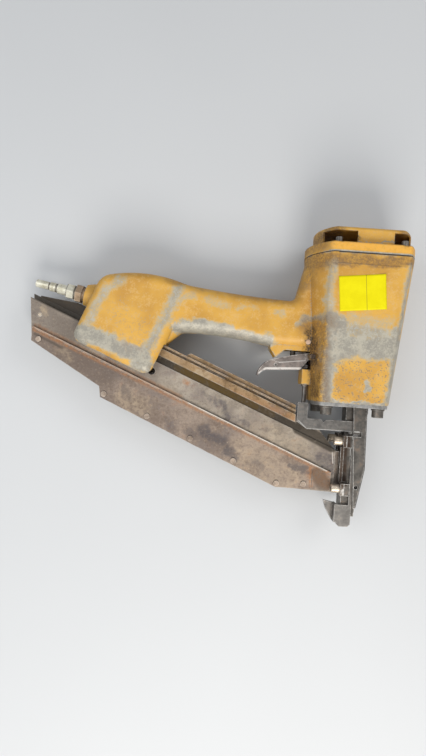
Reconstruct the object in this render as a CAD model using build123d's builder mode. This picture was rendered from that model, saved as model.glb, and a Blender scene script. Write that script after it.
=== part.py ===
from build123d import *
import math
import os

os.makedirs("parts", exist_ok=True)

# Pneumatic strip nailer, millimetres.
# The origin is the centre of the muzzle. The drive axis runs up +Y to the cap, the front
# of the tool is +X, and the tool's right side is +Z. Every level below is a height on Y.

# Body casting
base_y = 131.0
cap_seat_y = 295.0
crown_radius = 65.0
crown_front = 58.0
crown_flat_front = 43.0
crown_front_share = 0.45
crown_half_width = 50.0
base_half_width = 40.0
base_front = 40.5
base_rear = 50.0
base_flat_front = 29.0
base_flat_rear = 45.0
casting_corner = 7.0
chamber_radius = 36.0
chamber_step_y = 152.0
floor_y = 139.0
name_band_depth = 1.3
name_band_height = 12.0
name_band_half = 36.0

# Grip and neck
grip_half_width = 19.5
grip_round = 13.0
neck_top = (-64.0, 288.0)
neck_foot = (-74.0, 244.0)
neck_round = 10.0
grip_top_waist = (-157.0, 249.3)
grip_top_end = (-226.0, 258.5)
grip_under_start = (-100.0, 190.7)
grip_under_waist = (-150.0, 198.0)
grip_under_end = (-203.0, 200.0)
crotch_round = 14.0
passage_radius = 14.0
passage_start = (-40.0, 213.0)
passage_tilt = 5.3
passage_length = 250.0
grip_root_height = 50.0
grip_root_depth = 40.0

guard_tooth = (-93.4, 178.0)
guard_flank = 10.0
guard_depth = 6.0

# Magazine line: local x runs to the nose, local y square to it, away from the nail tips
magazine_angle = 22.3
magazine_origin = (-23.3, 49.7)

# Hood that straddles the magazine, in magazine coordinates
hood_half_width = 28.0
hood_wall = 6.0
hood_rear = -333.0
hood_front = -232.7
hood_bottom = 7.0
hood_shoulder_rear = 87.0
hood_shoulder_front = 121.0
hood_top_crest = (-268.9, 262.2)
hood_corner = 12.0
hood_top_corner = 20.0
hood_edge_round = 11.0
hood_roof_gap = 0.5
blend_reach = 18.0
blend_inset = 0.3
blend_rise = 10.0

# Magazine sections, square to its line
nail_gap = 10.0
channel_wall = 3.0
cover_thickness = 2.0
rail_depth = 7.0
rail_bottom = 35.0
rail_top = 48.0
rail_groove = 44.6
rail_groove_width = 3.0
channel_top = 42.0
channel_floor = 3.0
strip_thickness = 5.0
strip_half_width = 12.0
strip_rear = -206.6
strip_slant = 4.0
channel_rear_x = -376.0
channel_rear_top_x = -381.0
channel_front_x = -16.0
channel_rear_low = -14.9
channel_rear_top = 35.0
channel_rear_right = 30.0
channel_recess_low = 26.5
channel_recess_rear = -316.0
channel_recess = 1.5
channel_rear_step = -322.0
channel_bend = (-281.2, -27.8)
channel_step = (-274.9, -38.6)
channel_deep = (-47.3, -42.6)
channel_front_low = -18.7
channel_front_top = 26.0
channel_shoulder = -36.0
channel_hole = (-234.8, 14.6)
channel_hole_radius = 4.25
rail_rear = -326.0
rail_left_rear_x = -374.0
rail_left_taper = -350.0
rail_left_tip = 1.5
rail_front_x = -66.0
cover_front_x = -20.0
cover_lip = 1.0
cover_seam_x = -42.0
cover_seam = 0.8
rivet_radius = 2.0
rivet_head = 3.2
rivet_head_height = 1.2
rivet_first = (-272.2, -33.5)
rivet_last = (-48.3, -38.1)
rivet_count = 5
rivet_rear = (-368.1, -9.8)
rivet_front = (-19.8, -25.2)
latch_pin = (-380.0, 16.0)
latch_pin_radius = 2.4
latch_pin_recess = 0.8
latch_length = 14.0
latch_low = -6.0
latch_high = 26.0
latch_thickness = 1.8
latch_margin = 1.0

# Pusher, in magazine coordinates
pusher_front = -17.6
pusher_low = -20.0
pusher_high = 40.0
pusher_clearance = 0.4
pusher_foot_length = 26.0
pusher_length = 68.0
pusher_shoulder = 20.0
pusher_spool = (-68.0, 30.0)
pusher_spool_radius = 8.0
pusher_spool_pin = 2.5
pusher_spool_half = 3.0
tab_rear_x = -80.0
tab_front_x = -62.0
tab_plate = 2.2
tab_pad_low = 38.0
tab_pad_high = 47.5
tab_pad_gap = 1.0
tab_pad_half = 21.0
slot_margin = 2.0
pusher_travel = 200.0

# Hanger of the magazine inside the hood, in magazine coordinates
hanger_inset = 65.0
hanger_half_length = 15.0
hanger_half_width = 10.0
hanger_height = 15.0
hanger_bolt_y = 56.0
hanger_bolt_radius = 3.0
hanger_bolt_reach = 25.0

# Air inlet
inlet_stand = 10.0
inlet_height = 60.0
inlet_tilt = 10.5
inlet_boss_radius = 13.0
inlet_boss_length = 34.0
inlet_boss_root = 24.0
inlet_bore_radius = 8.0
inlet_depth = 34.0
bushing_hex = 19.0
bushing_hex_length = 7.0
bushing_neck_length = 4.5
bushing_thread_length = 12.0
plug_hex = 15.5
plug_hex_length = 9.0
plug_collar = 6.8
plug_collar_length = 2.5
plug_thread_radius = 5.0
plug_thread_length = 10.0
plug_barrel = (6.0, 11.0)
plug_groove = (4.6, 1.5)
plug_middle = (5.3, 8.0)
plug_neck = (4.0, 2.0)
plug_tip = (4.6, 15.0)
plug_bore_radius = 2.4
plug_chamfer = 1.0

# Drive line
sleeve_bore = 28.0
sleeve_wall = 3.0
sleeve_top_y = 283.0
sleeve_flange_y = 262.0
sleeve_flange = 4.0
sleeve_notch = 5.0
sleeve_notches = 6
sleeve_ring_low_y = 143.0
sleeve_ring_high_y = 149.0
return_ports = 6
return_port_y = 170.0
return_port_radius = 2.0
seat_clearance = 0.3
ring_section = 1.5
piston_y = 264.0
piston_height = 14.0
piston_clearance = 0.3
piston_rim = 5.0
piston_hub = 9.0
piston_dish = 4.0
driver_head = 2.0
driver_radius = 4.2
driver_tip_y = 104.0
driver_chamfer = 0.5
bumper_top_y = 158.0
bumper_hole = 6.0
bumper_round = 4.0
head_valve_radius = 33.0
head_valve_top_y = 297.0
head_valve_lift = 5.0
exhaust_tube_radius = 12.0
exhaust_bore = 9.0
head_valve_floor = 5.0
head_valve_rim = 5.0
head_valve_tube_y = 301.0
head_valve_ring_y = 292.5
head_spring_radius = 20.0
head_spring_wire = 1.8
head_spring_turns = 4

# Cap and exhaust deflector
gasket_thickness = 1.0
gasket_inset = 0.5
cap_flange = 11.0
cap_edge_round = 2.0
cap_skirt = 8.0
cap_dome_y = 311.0
cap_dome_radius = 36.0
cap_web = 3.0
exhaust_port_circle = 8.4
exhaust_port_radius = 3.2
exhaust_ports = 3
deflector_inset = 9.0
deflector_wall = 2.5
deflector_height = 19.0
deflector_round = 4.0
deflector_window = 14.5
deflector_post = 6.0
deflector_sill = 1.5
deflector_windows = [(math.radians(28), math.radians(58)), (math.radians(110), math.radians(154))]
deflector_screw_radius = 2.5
deflector_screw_head = 4.5
deflector_screw_sink = 3.5
cap_screw_radius = 2.5
cap_screw_head = 3.7
cap_screw_x = 36.0
cap_screw_edge = 5.2
cap_screw_depth = 22.0
hex_sides = 6
screw_chamfer_share = 0.08
screw_socket_share = 0.9
spring_samples = 8
spring_sides = 4
spring_arcs = 4
full_turn = 360.0

# Nose
muzzle_y = 0.0
muzzle_bore = 5.0
muzzle_depth = 14.0
nose_flange = 4.0
nose_rear = 7.0
nose_front = 17.5
nose_half_width = 9.9
drive_bore = 4.5
feed_low_y = 24.0
feed_high_y = 97.0
feed_half_width = 4.2
nose_spigot = 14.0
nose_inset = 1.0
nose_front_top = 16.0
nose_knee_y = 56.0
nose_toe = (9.6, 11.0)
nose_tip_front = 9.0
ear_half_width = 23.0
ear_thickness = 6.5
ear_bolt_z = 16.0
ear_low_y = 32.5
ear_high_y = 87.0
ear_half_height = 6.8
magazine_flange = 4.0
flange_half_width = 12.0
flange_sill = 4.0
neck_half_width = 6.0
neck_low_y = 30.0
neck_high_y = 74.0
nose_bolt_x = (-35.0, 23.0)
nose_bolt_z = 30.0
nose_bolt_radius = 4.0
nose_bolt_head = 6.4
nose_bolt_head_length = 8.0
nose_bolt_depth = 14.0
washer_thickness = 2.0
plate_bolt_radius = 3.0
plate_bolt_head = 4.8
plate_bolt_head_length = 7.5

# Contact arm
arm_thickness = 3.0
arm_clearance = 0.3
side_plate = 3.0
side_plate_top_x = -0.3
side_plate_toe_x = 6.2
side_plate_chamfer = 1.5
side_plate_notch = (-2.0, 93.0, 10.6, 98.0)
side_plate_hole = (7.9, 35.0)
side_plate_hole_radius = 2.2
bar_rear = 1.5
bar_front = 9.0
foot_tip_y = -11.5
foot_top_y = 13.5
foot_chamfer = 3.0
bracket_low_y = 98.0
bracket_high_y = 110.0
bracket_rear = -64.0
bracket_inner = -52.0
bracket_top_y = 128.0
bracket_corner = 8.0
bracket_corner_run = 12.0
bracket_notch_x = -33.0
bracket_notch = 3.0
tab_rear = -61.0
tab_front = -51.0
tab_top_y = 126.0
tab_thickness = 5.0
foot_rear = -11.0
foot_front = 5.0
foot_web = 3.0
foot_web_low_y = -7.0
tine_tip = (-25.0, 15.5)
tine_half_width = 2.5
bar_top_y = 110.0
bar_shoulder_y = 20.0
rod_x = -55.5
rod_radius = 2.5
rod_top_y = 167.5
rod_collar = 4.2
lug_rear = -61.5
lug_front = -44.0
lug_inner = 9.5
lug_outer = 13.5
lug_low_y = 149.0
lug_shelf_y = 166.0
lug_shelf = 2.0
lug_boss = 5.0
rod_collar_length = 2.0
contact_spring_radius = 3.4
contact_spring_wire = 0.9
contact_spring_turns = 5
running_clearance = 0.05

# Trigger and trigger valve
trigger_pivot = (-50.6, 181.5)
trigger_pin_radius = 1.75
trigger_half_width = 9.0
trigger_wall = 2.0
trigger_roof_y = 193.0
trigger_pocket = 6.0
lever_pivot = (-92.0, 169.5)
trigger_ear = 4.6
trigger_floor = 1.6
trigger_front_low = (-63.5, 165.6)
trigger_rear_low = (-99.0, 163.2)
trigger_hook_tip = (-113.0, 156.0)
trigger_hook_bow = (-107.0, 168.5)
trigger_hook_inner = (-106.0, 161.5)
trigger_hook_thickness = 2.0
trigger_rear_top = (-97.0, 175.2)
trigger_rise = (-76.6, 180.8)
trigger_front_top = (-53.0, 185.5)
trigger_fold_rear = (-88.0, 172.5)
trigger_fold_front = (-58.0, 176.5)
trigger_fold = 0.8
trigger_pin_head = 3.0
lever_pin_radius = 1.5
lever_half_width = 5.5
lever_hub = 3.2
lever_front = -54.5
lever_top_y = 171.7
lever_low_y = 168.0
valve_x = -72.0
valve_radius = 13.0
valve_top_y = 222.0
valve_snout_radius = 6.3
valve_snout_y = 187.0
stem_radius = 3.0
stem_low_y = 178.5
stem_head = 6.0
stem_head_length = 3.7
stem_spigot = 2.2
valve_chamber = 6.5
valve_chamber_y = 196.0
valve_roof = 4.0
valve_vent = 1.5
valve_ring_low_y = 204.0
valve_ring_high_y = 213.0
valve_spring_radius = 4.4
valve_spring_wire = 1.0
valve_spring_turns = 6
lock_pin = (-57.5, 197.5)
lock_pin_radius = 2.75
lock_pin_half = 17.5

# Sizes that follow from the ones above
slope = math.radians(magazine_angle)
magazine_plane = Plane(
    origin=(magazine_origin[0], magazine_origin[1], 0),
    x_dir=(math.cos(slope), -math.sin(slope), 0),
    z_dir=(0, 0, 1),
)
passage_slope = math.radians(passage_tilt)
passage_plane = Plane(
    origin=(passage_start[0], passage_start[1], 0),
    x_dir=(0, 0, 1),
    z_dir=(-math.cos(passage_slope), math.sin(passage_slope), 0),
)
sleeve_radius = sleeve_bore + sleeve_wall
sleeve_ring_levels = (sleeve_ring_low_y, sleeve_ring_high_y)
valve_ring_levels = (valve_ring_low_y, valve_ring_high_y)
hood_slot = hood_half_width - hood_wall
hanger_x = hood_rear + hanger_inset
channel_half = nail_gap / 2 + channel_wall
cover_half = channel_half + cover_thickness
rail_half = channel_half + rail_depth
nose_top_y = base_y - nose_flange
valve_axis = Axis((valve_x, 0, 0), (0, 1, 0))


def level(y):
    """Plane across the drive axis at a height: local x is X, local y is Z, its normal points down."""
    return Plane.XZ.offset(-y)


def on_magazine(x, y):
    """Point of the tool for a point given along and square to the magazine's line."""
    point = magazine_plane.from_local_coords((x, y, 0))
    return (point.X, point.Y)


def in_magazine(point):
    """Place of a point of the frame, along and across the magazine."""
    dx, dy = point[0] - magazine_origin[0], point[1] - magazine_origin[1]
    return (
        dx * math.cos(slope) - dy * math.sin(slope),
        dx * math.sin(slope) + dy * math.cos(slope),
    )


def across_magazine(x):
    """Plane across the magazine at x, with z sideways and the height up."""
    return Plane(
        origin=(*on_magazine(x, 0), 0),
        x_dir=(0, 0, -1),
        z_dir=(math.cos(slope), -math.sin(slope), 0),
    )


def along_at(x, y):
    """Distance along the magazine's line of the point at a tool X and a height square to the line."""
    return (x - magazine_origin[0] - y * math.sin(slope)) / math.cos(slope)


def casting_section(front, rear, flat_front, flat_rear, half_width, corner):
    """Plan of the body casting: two flat sides joined by bowed front and rear walls."""
    with BuildSketch() as plan:
        with BuildLine():
            Line((-flat_rear, half_width), (flat_front, half_width))
            ThreePointArc((flat_front, half_width), (front, 0), (flat_front, -half_width))
            Line((flat_front, -half_width), (-flat_rear, -half_width))
            ThreePointArc((-flat_rear, -half_width), (-rear, 0), (-flat_rear, half_width))
        make_face()
        fillet(plan.vertices(), corner)
    return plan.sketch


def crown_section(inset):
    """Plan of the crown, drawn in by an inset: round behind, flat at the sides, flatter in front."""
    radius = crown_radius - inset
    half_width = crown_half_width - inset
    flat_rear = math.sqrt(radius**2 - half_width**2)
    front = crown_front - inset * crown_front_share
    flat_front = crown_flat_front - inset * crown_front_share
    return casting_section(front, radius, flat_front, flat_rear, half_width, casting_corner)


def base_section(inset):
    """Plan of the casting's foot, drawn in by an inset."""
    return casting_section(
        base_front - inset,
        base_rear - inset,
        base_flat_front - inset,
        base_flat_rear - inset,
        base_half_width - inset,
        casting_corner,
    )


def rectangle_between(x0, y0, x1, y1):
    """Rectangle face between two opposite corners."""
    with BuildSketch() as face:
        with Locations(((x0 + x1) / 2, (y0 + y1) / 2)):
            Rectangle(abs(x1 - x0), abs(y1 - y0))
    return face.sketch


def outline(*points):
    """Face inside a closed run of straight edges."""
    with BuildSketch() as face:
        with BuildLine():
            Polyline(*points, close=True)
        make_face()
    return face.sketch


def socket_screw(shank_radius, shank_length, head_radius, head_length, washer=0.0):
    """Socket head screw along +Z: the shank runs down from zero, the head stands on its washer."""
    with BuildPart() as screw:
        with BuildSketch(Plane.XY.offset(-shank_length)):
            Circle(shank_radius)
        extrude(amount=shank_length + washer)
        with BuildSketch(Plane.XY.offset(washer)):
            Circle(head_radius)
        extrude(amount=head_length)
        chamfer(screw.edges().group_by(Axis.Z)[-1], head_length * screw_chamfer_share)
        with BuildSketch(Plane.XY.offset(washer + head_length)):
            RegularPolygon(shank_radius * screw_socket_share, hex_sides)
        extrude(amount=-head_length / 2, mode=Mode.SUBTRACT)
    return screw.part


def coil_spring(axis_x, low_y, high_y, radius, wire, turns):
    """Wire of few sides wound up +Y between two heights, as tangent arcs of a quarter turn."""
    steps = spring_arcs * turns
    rise = (high_y - low_y - wire) / steps
    points = []
    for step in range(steps + 1):
        turn = math.radians(full_turn / spring_arcs) * step
        points.append(
            Vector(
                axis_x + radius * math.cos(turn),
                low_y + wire / 2 + rise * step,
                radius * math.sin(turn),
            )
        )
    start = Vector(0, 2 * rise / math.pi, radius)
    with BuildPart() as spring:
        with BuildLine() as path:
            arc = TangentArc(points[0], points[1], tangent=start)
            for near, far in zip(points[1:], points[2:]):
                arc = TangentArc(near, far, tangent=arc % 1)
        with BuildSketch(Plane(origin=points[0], z_dir=start)):
            RegularPolygon(wire / 2, spring_sides)
        sweep(path=path.line)
    count = spring_samples * steps
    samples = [path.line @ (i / count) for i in range(count + 1)]
    gap = min(
        (samples[i] - samples[j]).length - wire
        for i in range(len(samples))
        for j in range(i + 2 * spring_samples, len(samples))
    )
    print(f"least gap between turns at {axis_x:.0f}, {low_y:.0f}: {gap:.2f}")
    return spring.part


inlet_face = on_magazine(hood_rear - inlet_stand, inlet_height)
inlet_slope = math.radians(inlet_tilt)
inlet_plane = Plane(
    origin=(inlet_face[0], inlet_face[1], 0),
    x_dir=(0, 0, 1),
    z_dir=(-math.cos(inlet_slope), math.sin(inlet_slope), 0),
)

# Neck and grip of the casting, before it joins the body
hood_edge_low = on_magazine(hood_front, grip_root_height)
hood_edge_in = on_magazine(hood_front - grip_root_depth, grip_root_height)
with BuildPart() as grip:
    with BuildSketch(Plane.XY) as grip_side:
        with BuildLine():
            Line((0, neck_top[1]), neck_top)
            Line(neck_top, neck_foot)
            ThreePointArc(neck_foot, grip_top_waist, grip_top_end)
            Polyline(grip_top_end, hood_edge_in, hood_edge_low, grip_under_end)
            ThreePointArc(grip_under_end, grip_under_waist, grip_under_start)
            Polyline(grip_under_start, (0, grip_under_start[1]), (0, neck_top[1]))
        make_face()
        fillet(grip_side.vertices().sort_by_distance(neck_foot)[0], neck_round)
        fillet(grip_side.vertices().sort_by_distance(grip_under_end)[0], crotch_round)
    extrude(amount=grip_half_width, both=True)
    fillet(grip.faces().filter_by(Axis.Z).edges(), grip_round)

# Hood over the magazine
hood_top_rear = on_magazine(hood_rear, hood_shoulder_rear)
hood_top_front = on_magazine(hood_front, hood_shoulder_front)
with BuildPart() as hood:
    with BuildSketch(Plane.XY) as hood_side:
        with BuildLine():
            ThreePointArc(hood_top_rear, hood_top_crest, hood_top_front)
            Polyline(
                hood_top_front,
                on_magazine(hood_front, hood_bottom),
                on_magazine(hood_rear, hood_bottom),
                hood_top_rear,
            )
        make_face()
        fillet(hood_side.vertices().sort_by_distance(hood_top_rear)[1:], hood_corner)
        fillet(hood_side.vertices().sort_by_distance(hood_top_rear)[0], hood_top_corner)
    extrude(amount=hood_half_width, both=True)
    fillet(hood.faces().filter_by(Axis.Z).edges(), hood_edge_round)

# Sides of the grip where they spread out to the hood
blend_climb = blend_reach * math.tan(slope)
grip_root_low = in_magazine(grip_under_end)[1] + blend_climb / 2
grip_root_high = in_magazine(grip_top_waist)[1] - blend_climb
with BuildPart() as blend:
    hood_end = (hood_front - hood_edge_round, hood_half_width, hood_edge_round)
    grip_end = (hood_front + blend_reach, grip_half_width, grip_round)
    for (place, half_width, corner), low, high in (
        (hood_end, grip_root_height + blend_rise, hood_shoulder_front),
        (grip_end, grip_root_low, grip_root_high),
    ):
        with BuildSketch(across_magazine(place)):
            with Locations((0, (low + high) / 2)):
                RectangleRounded(2 * (half_width - blend_inset), high - low, corner)
    loft()

# Housing: the body, grip, hood, inlet boss and trigger lugs are one casting
cap_screw_z = crown_half_width - cap_screw_edge
cap_screw_places = [(x, z) for x in (-cap_screw_x, cap_screw_x) for z in (-cap_screw_z, cap_screw_z)]
nose_bolt_places = [(x, z) for x in nose_bolt_x for z in (-nose_bolt_z, nose_bolt_z)]
with BuildPart() as housing:
    with BuildSketch(level(base_y)):
        add(base_section(0))
    with BuildSketch(level(cap_seat_y)):
        add(crown_section(0))
    loft(ruled=True)
    add(grip.part)
    add(hood.part)
    add(blend.part)
    with BuildSketch(inlet_plane):
        Circle(inlet_boss_radius)
    with BuildSketch(inlet_plane.offset(-inlet_boss_length)):
        Circle(inlet_boss_root)
    loft()
    # Lugs for the trigger pin, the web that guides the contact rod, and the guard teeth
    with BuildSketch(Plane.XY):
        add(rectangle_between(lug_rear, lug_low_y, lug_front, trigger_roof_y))
        add(
            outline(
                (grip_under_start[0], trigger_roof_y + grip_round),
                (grip_under_start[0], guard_tooth[1] + guard_flank),
                guard_tooth,
                (guard_tooth[0] + guard_flank, trigger_roof_y - guard_depth),
                (lug_rear, trigger_roof_y - guard_depth),
                (lug_rear, trigger_roof_y + grip_round),
            )
        )
    extrude(amount=lug_outer, both=True)
    # Pocket for the trigger
    with BuildSketch(Plane.XY):
        add(
            rectangle_between(
                grip_under_start[0] - running_clearance,
                lug_shelf_y,
                trigger_pivot[0] + trigger_pocket,
                trigger_roof_y,
            )
        )
    extrude(amount=lug_inner, both=True, mode=Mode.SUBTRACT)
    # Open sides that show the trigger, with a round boss left for its pin
    for side in (1, -1):
        with BuildSketch(Plane.XY.offset(side * lug_inner)):
            add(rectangle_between(lug_rear, lug_shelf_y, trigger_pivot[0], trigger_roof_y - guard_depth))
            with Locations(trigger_pivot):
                Circle(lug_boss, mode=Mode.SUBTRACT)
        extrude(amount=side * (lug_outer - lug_inner), mode=Mode.SUBTRACT)
    # Air chamber round the cylinder, its seat below and the opening for the nose
    with BuildSketch(level(cap_seat_y)):
        Circle(chamber_radius)
    extrude(amount=cap_seat_y - chamber_step_y, mode=Mode.SUBTRACT)
    with BuildSketch(level(chamber_step_y)):
        Circle(sleeve_radius + seat_clearance)
    extrude(amount=chamber_step_y - floor_y, mode=Mode.SUBTRACT)
    with BuildSketch(level(floor_y)):
        Circle(nose_spigot + running_clearance)
    extrude(amount=floor_y - base_y, mode=Mode.SUBTRACT)
    # Air passage through the grip and its inlet thread
    with BuildSketch(passage_plane):
        Circle(passage_radius)
    extrude(amount=passage_length, mode=Mode.SUBTRACT)
    with BuildSketch(inlet_plane):
        Circle(inlet_bore_radius)
    extrude(amount=-inlet_depth, mode=Mode.SUBTRACT)
    # Slot of the hood for the magazine, with the pocket for its bracket
    with BuildSketch(magazine_plane):
        add(
            rectangle_between(
                hood_rear - hood_half_width,
                hood_bottom - hood_half_width,
                hood_front + hood_corner / 2,
                rail_top + hood_roof_gap,
            )
        )
    extrude(amount=hood_slot, both=True, mode=Mode.SUBTRACT)
    with BuildSketch(magazine_plane):
        add(
            rectangle_between(
                hanger_x - hanger_half_length - seat_clearance,
                rail_top,
                hanger_x + hanger_half_length + seat_clearance,
                rail_top + hanger_height + seat_clearance,
            )
        )
    extrude(amount=hanger_half_width + seat_clearance, both=True, mode=Mode.SUBTRACT)
    with BuildSketch(magazine_plane.offset(-hood_half_width)):
        with Locations((hanger_x, hanger_bolt_y)):
            Circle(hanger_bolt_radius + running_clearance)
    extrude(amount=hood_half_width + hanger_bolt_reach, mode=Mode.SUBTRACT)
    # Bore of the trigger valve and the hole of its lock pin
    with BuildSketch(level(trigger_roof_y)):
        with Locations((valve_x, 0)):
            Circle(valve_radius + running_clearance)
    extrude(amount=-(valve_top_y + seat_clearance - trigger_roof_y), mode=Mode.SUBTRACT)
    with BuildSketch(Plane.XY):
        with Locations(lock_pin):
            Circle(lock_pin_radius + running_clearance)
    extrude(amount=crown_half_width, both=True, mode=Mode.SUBTRACT)
    # Holes of the trigger pin and of the contact rod with its spring
    with BuildSketch(Plane.XY):
        with Locations(trigger_pivot):
            Circle(trigger_pin_radius + running_clearance)
    extrude(amount=lug_outer, both=True, mode=Mode.SUBTRACT)
    with BuildSketch(level(lug_shelf_y)):
        with Locations((rod_x, 0)):
            Circle(rod_radius + running_clearance)
    extrude(amount=lug_shelf_y - lug_low_y, mode=Mode.SUBTRACT)
    with BuildSketch(level(lug_shelf_y - lug_shelf)):
        with Locations((rod_x, 0)):
            Circle(rod_collar + seat_clearance)
    extrude(amount=lug_shelf_y - lug_shelf - base_y, mode=Mode.SUBTRACT)
    # Scallop that lets the headed trigger pin in from the right
    with BuildSketch(Plane.XY.offset(lug_outer)):
        with Locations(trigger_pivot):
            Circle(trigger_pin_head + seat_clearance)
    extrude(amount=crown_half_width - lug_outer, mode=Mode.SUBTRACT)
    # Holes of the cap screws and of the nose bolts
    with BuildSketch(level(cap_seat_y)):
        with Locations(*cap_screw_places):
            Circle(cap_screw_radius + running_clearance)
    extrude(amount=cap_screw_depth, mode=Mode.SUBTRACT)
    with BuildSketch(level(base_y)):
        with Locations(*nose_bolt_places):
            Circle(nose_bolt_radius + running_clearance)
    extrude(amount=-nose_bolt_depth, mode=Mode.SUBTRACT)
    # Sunk band below the cap on both flat sides
    for side in (1, -1):
        with BuildSketch(Plane.XY.offset(side * crown_half_width)):
            add(
                rectangle_between(
                    -name_band_half,
                    cap_seat_y - name_band_height,
                    crown_radius,
                    cap_seat_y,
                )
            )
        extrude(amount=-side * name_band_depth, mode=Mode.SUBTRACT)
housing.part.label = "housing"
export_step(housing.part, "parts/housing.step")

# Cap with the guide of the head valve and the exhaust port
cap_bottom_y = cap_seat_y + gasket_thickness
cap_top_y = cap_bottom_y + cap_flange
deflector_top_y = cap_top_y + deflector_height
head_valve_bore = head_valve_radius + piston_clearance
head_valve_ceiling_y = head_valve_top_y + head_valve_lift + gasket_thickness
with BuildPart() as cap_gasket:
    with BuildSketch(level(cap_bottom_y)):
        add(crown_section(gasket_inset))
        Circle(chamber_radius, mode=Mode.SUBTRACT)
        with Locations(*cap_screw_places):
            Circle(cap_screw_radius + running_clearance, mode=Mode.SUBTRACT)
    extrude(amount=gasket_thickness)
cap_gasket.part.label = "cap_gasket"
export_step(cap_gasket.part, "parts/cap_gasket.step")

with BuildPart() as cylinder_cap:
    with BuildSketch(level(cap_top_y)):
        add(crown_section(0))
    extrude(amount=cap_flange)
    fillet(cylinder_cap.faces().sort_by(Axis.Y)[-1].edges(), cap_edge_round)
    with BuildSketch(level(cap_dome_y)):
        Circle(cap_dome_radius)
    extrude(amount=cap_dome_y - cap_top_y)
    with BuildSketch(level(cap_bottom_y)):
        Circle(chamber_radius - seat_clearance)
    extrude(amount=cap_skirt)
    with BuildSketch(level(head_valve_ceiling_y)):
        Circle(head_valve_bore)
    extrude(amount=head_valve_ceiling_y - cap_bottom_y + cap_skirt, mode=Mode.SUBTRACT)
    with BuildSketch(level(cap_dome_y - cap_web)):
        Circle(exhaust_tube_radius + piston_clearance)
    extrude(amount=cap_dome_y - cap_web - head_valve_ceiling_y, mode=Mode.SUBTRACT)
    with BuildSketch(level(cap_dome_y)):
        with PolarLocations(exhaust_port_circle, exhaust_ports):
            Circle(exhaust_port_radius)
        Circle(deflector_screw_radius)
    extrude(amount=cap_web, mode=Mode.SUBTRACT)
    with BuildSketch(level(cap_top_y)):
        with Locations(*cap_screw_places):
            Circle(cap_screw_radius + running_clearance)
    extrude(amount=cap_flange, mode=Mode.SUBTRACT)
cylinder_cap.part.label = "cylinder_cap"
export_step(cylinder_cap.part, "parts/cylinder_cap.step")

cap_screw = socket_screw(
    cap_screw_radius,
    cap_screw_depth + cap_flange + gasket_thickness - seat_clearance,
    cap_screw_head,
    cap_screw_radius * 2,
)
with BuildPart() as cap_screws:
    with Locations(*(Plane(origin=(x, cap_top_y, z), z_dir=(0, 1, 0)) for x, z in cap_screw_places)):
        add(cap_screw)
cap_screws.part.label = "cap_screws"
export_step(cap_screws.part, "parts/cap_screws.step")

# Exhaust deflector: a shallow pan with windows in its wall, on a post that stands on the cap
with BuildPart() as exhaust_deflector:
    with BuildSketch(level(deflector_top_y)):
        add(crown_section(deflector_inset))
    extrude(amount=deflector_top_y - cap_top_y)
    fillet(exhaust_deflector.faces().sort_by(Axis.Y)[-1].edges(), deflector_round)
    with BuildSketch(level(deflector_top_y - deflector_wall)):
        add(crown_section(deflector_inset + deflector_wall))
    extrude(amount=deflector_top_y - deflector_wall - cap_top_y, mode=Mode.SUBTRACT)
    with BuildSketch(level(deflector_top_y - deflector_wall)):
        Circle(deflector_post)
    extrude(amount=deflector_top_y - deflector_wall - cap_dome_y)
    with BuildSketch(level(deflector_top_y)):
        Circle(deflector_screw_radius + running_clearance)
    extrude(amount=deflector_top_y - cap_dome_y, mode=Mode.SUBTRACT)
    with BuildSketch(level(deflector_top_y)):
        Circle(deflector_screw_head + seat_clearance)
    extrude(amount=deflector_screw_sink, mode=Mode.SUBTRACT)
    with BuildSketch(level(cap_top_y + deflector_window)):
        for start, end in deflector_windows:
            for side in (1, -1):
                reach = 2 * crown_radius
                window_start = (reach * math.cos(start), side * reach * math.sin(start))
                window_end = (reach * math.cos(end), side * reach * math.sin(end))
                add(outline((0, 0), window_start, window_end))
        Circle(deflector_post * 2, mode=Mode.SUBTRACT)
    extrude(amount=deflector_window - deflector_sill, mode=Mode.SUBTRACT)
exhaust_deflector.part.label = "exhaust_deflector"
export_step(exhaust_deflector.part, "parts/exhaust_deflector.step")

with BuildPart() as deflector_screw:
    with Locations(Plane(origin=(0, deflector_top_y - deflector_screw_sink, 0), z_dir=(0, 1, 0))):
        add(
            socket_screw(
                deflector_screw_radius - running_clearance,
                deflector_top_y - deflector_screw_sink - cap_dome_y + cap_web,
                deflector_screw_head,
                deflector_screw_sink,
            )
        )
deflector_screw.part.label = "deflector_screw"
export_step(deflector_screw.part, "parts/deflector_screw.step")

# Cylinder sleeve on the chamber's seat, with its guide flange near the top
with BuildPart() as cylinder_sleeve:
    with BuildSketch(level(sleeve_top_y)):
        Circle(sleeve_radius)
    extrude(amount=sleeve_top_y - floor_y)
    with BuildSketch(level(sleeve_flange_y + sleeve_flange)):
        Circle(chamber_radius - seat_clearance)
        with PolarLocations(chamber_radius, sleeve_notches):
            Circle(sleeve_notch, mode=Mode.SUBTRACT)
    extrude(amount=sleeve_flange)
    with BuildSketch(level(sleeve_top_y)):
        Circle(sleeve_bore)
    extrude(amount=sleeve_top_y - floor_y, mode=Mode.SUBTRACT)
    for ring_y in sleeve_ring_levels:
        with BuildSketch(level(ring_y + ring_section)):
            Circle(sleeve_radius)
            Circle(sleeve_radius - ring_section, mode=Mode.SUBTRACT)
        extrude(amount=2 * ring_section, mode=Mode.SUBTRACT)
    for port in range(return_ports):
        with BuildSketch(Plane.XY.rotated((0, full_turn / return_ports * port, 0))):
            with Locations((0, return_port_y)):
                Circle(return_port_radius)
        extrude(amount=sleeve_radius, mode=Mode.SUBTRACT)
cylinder_sleeve.part.label = "cylinder_sleeve"
export_step(cylinder_sleeve.part, "parts/cylinder_sleeve.step")

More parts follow.
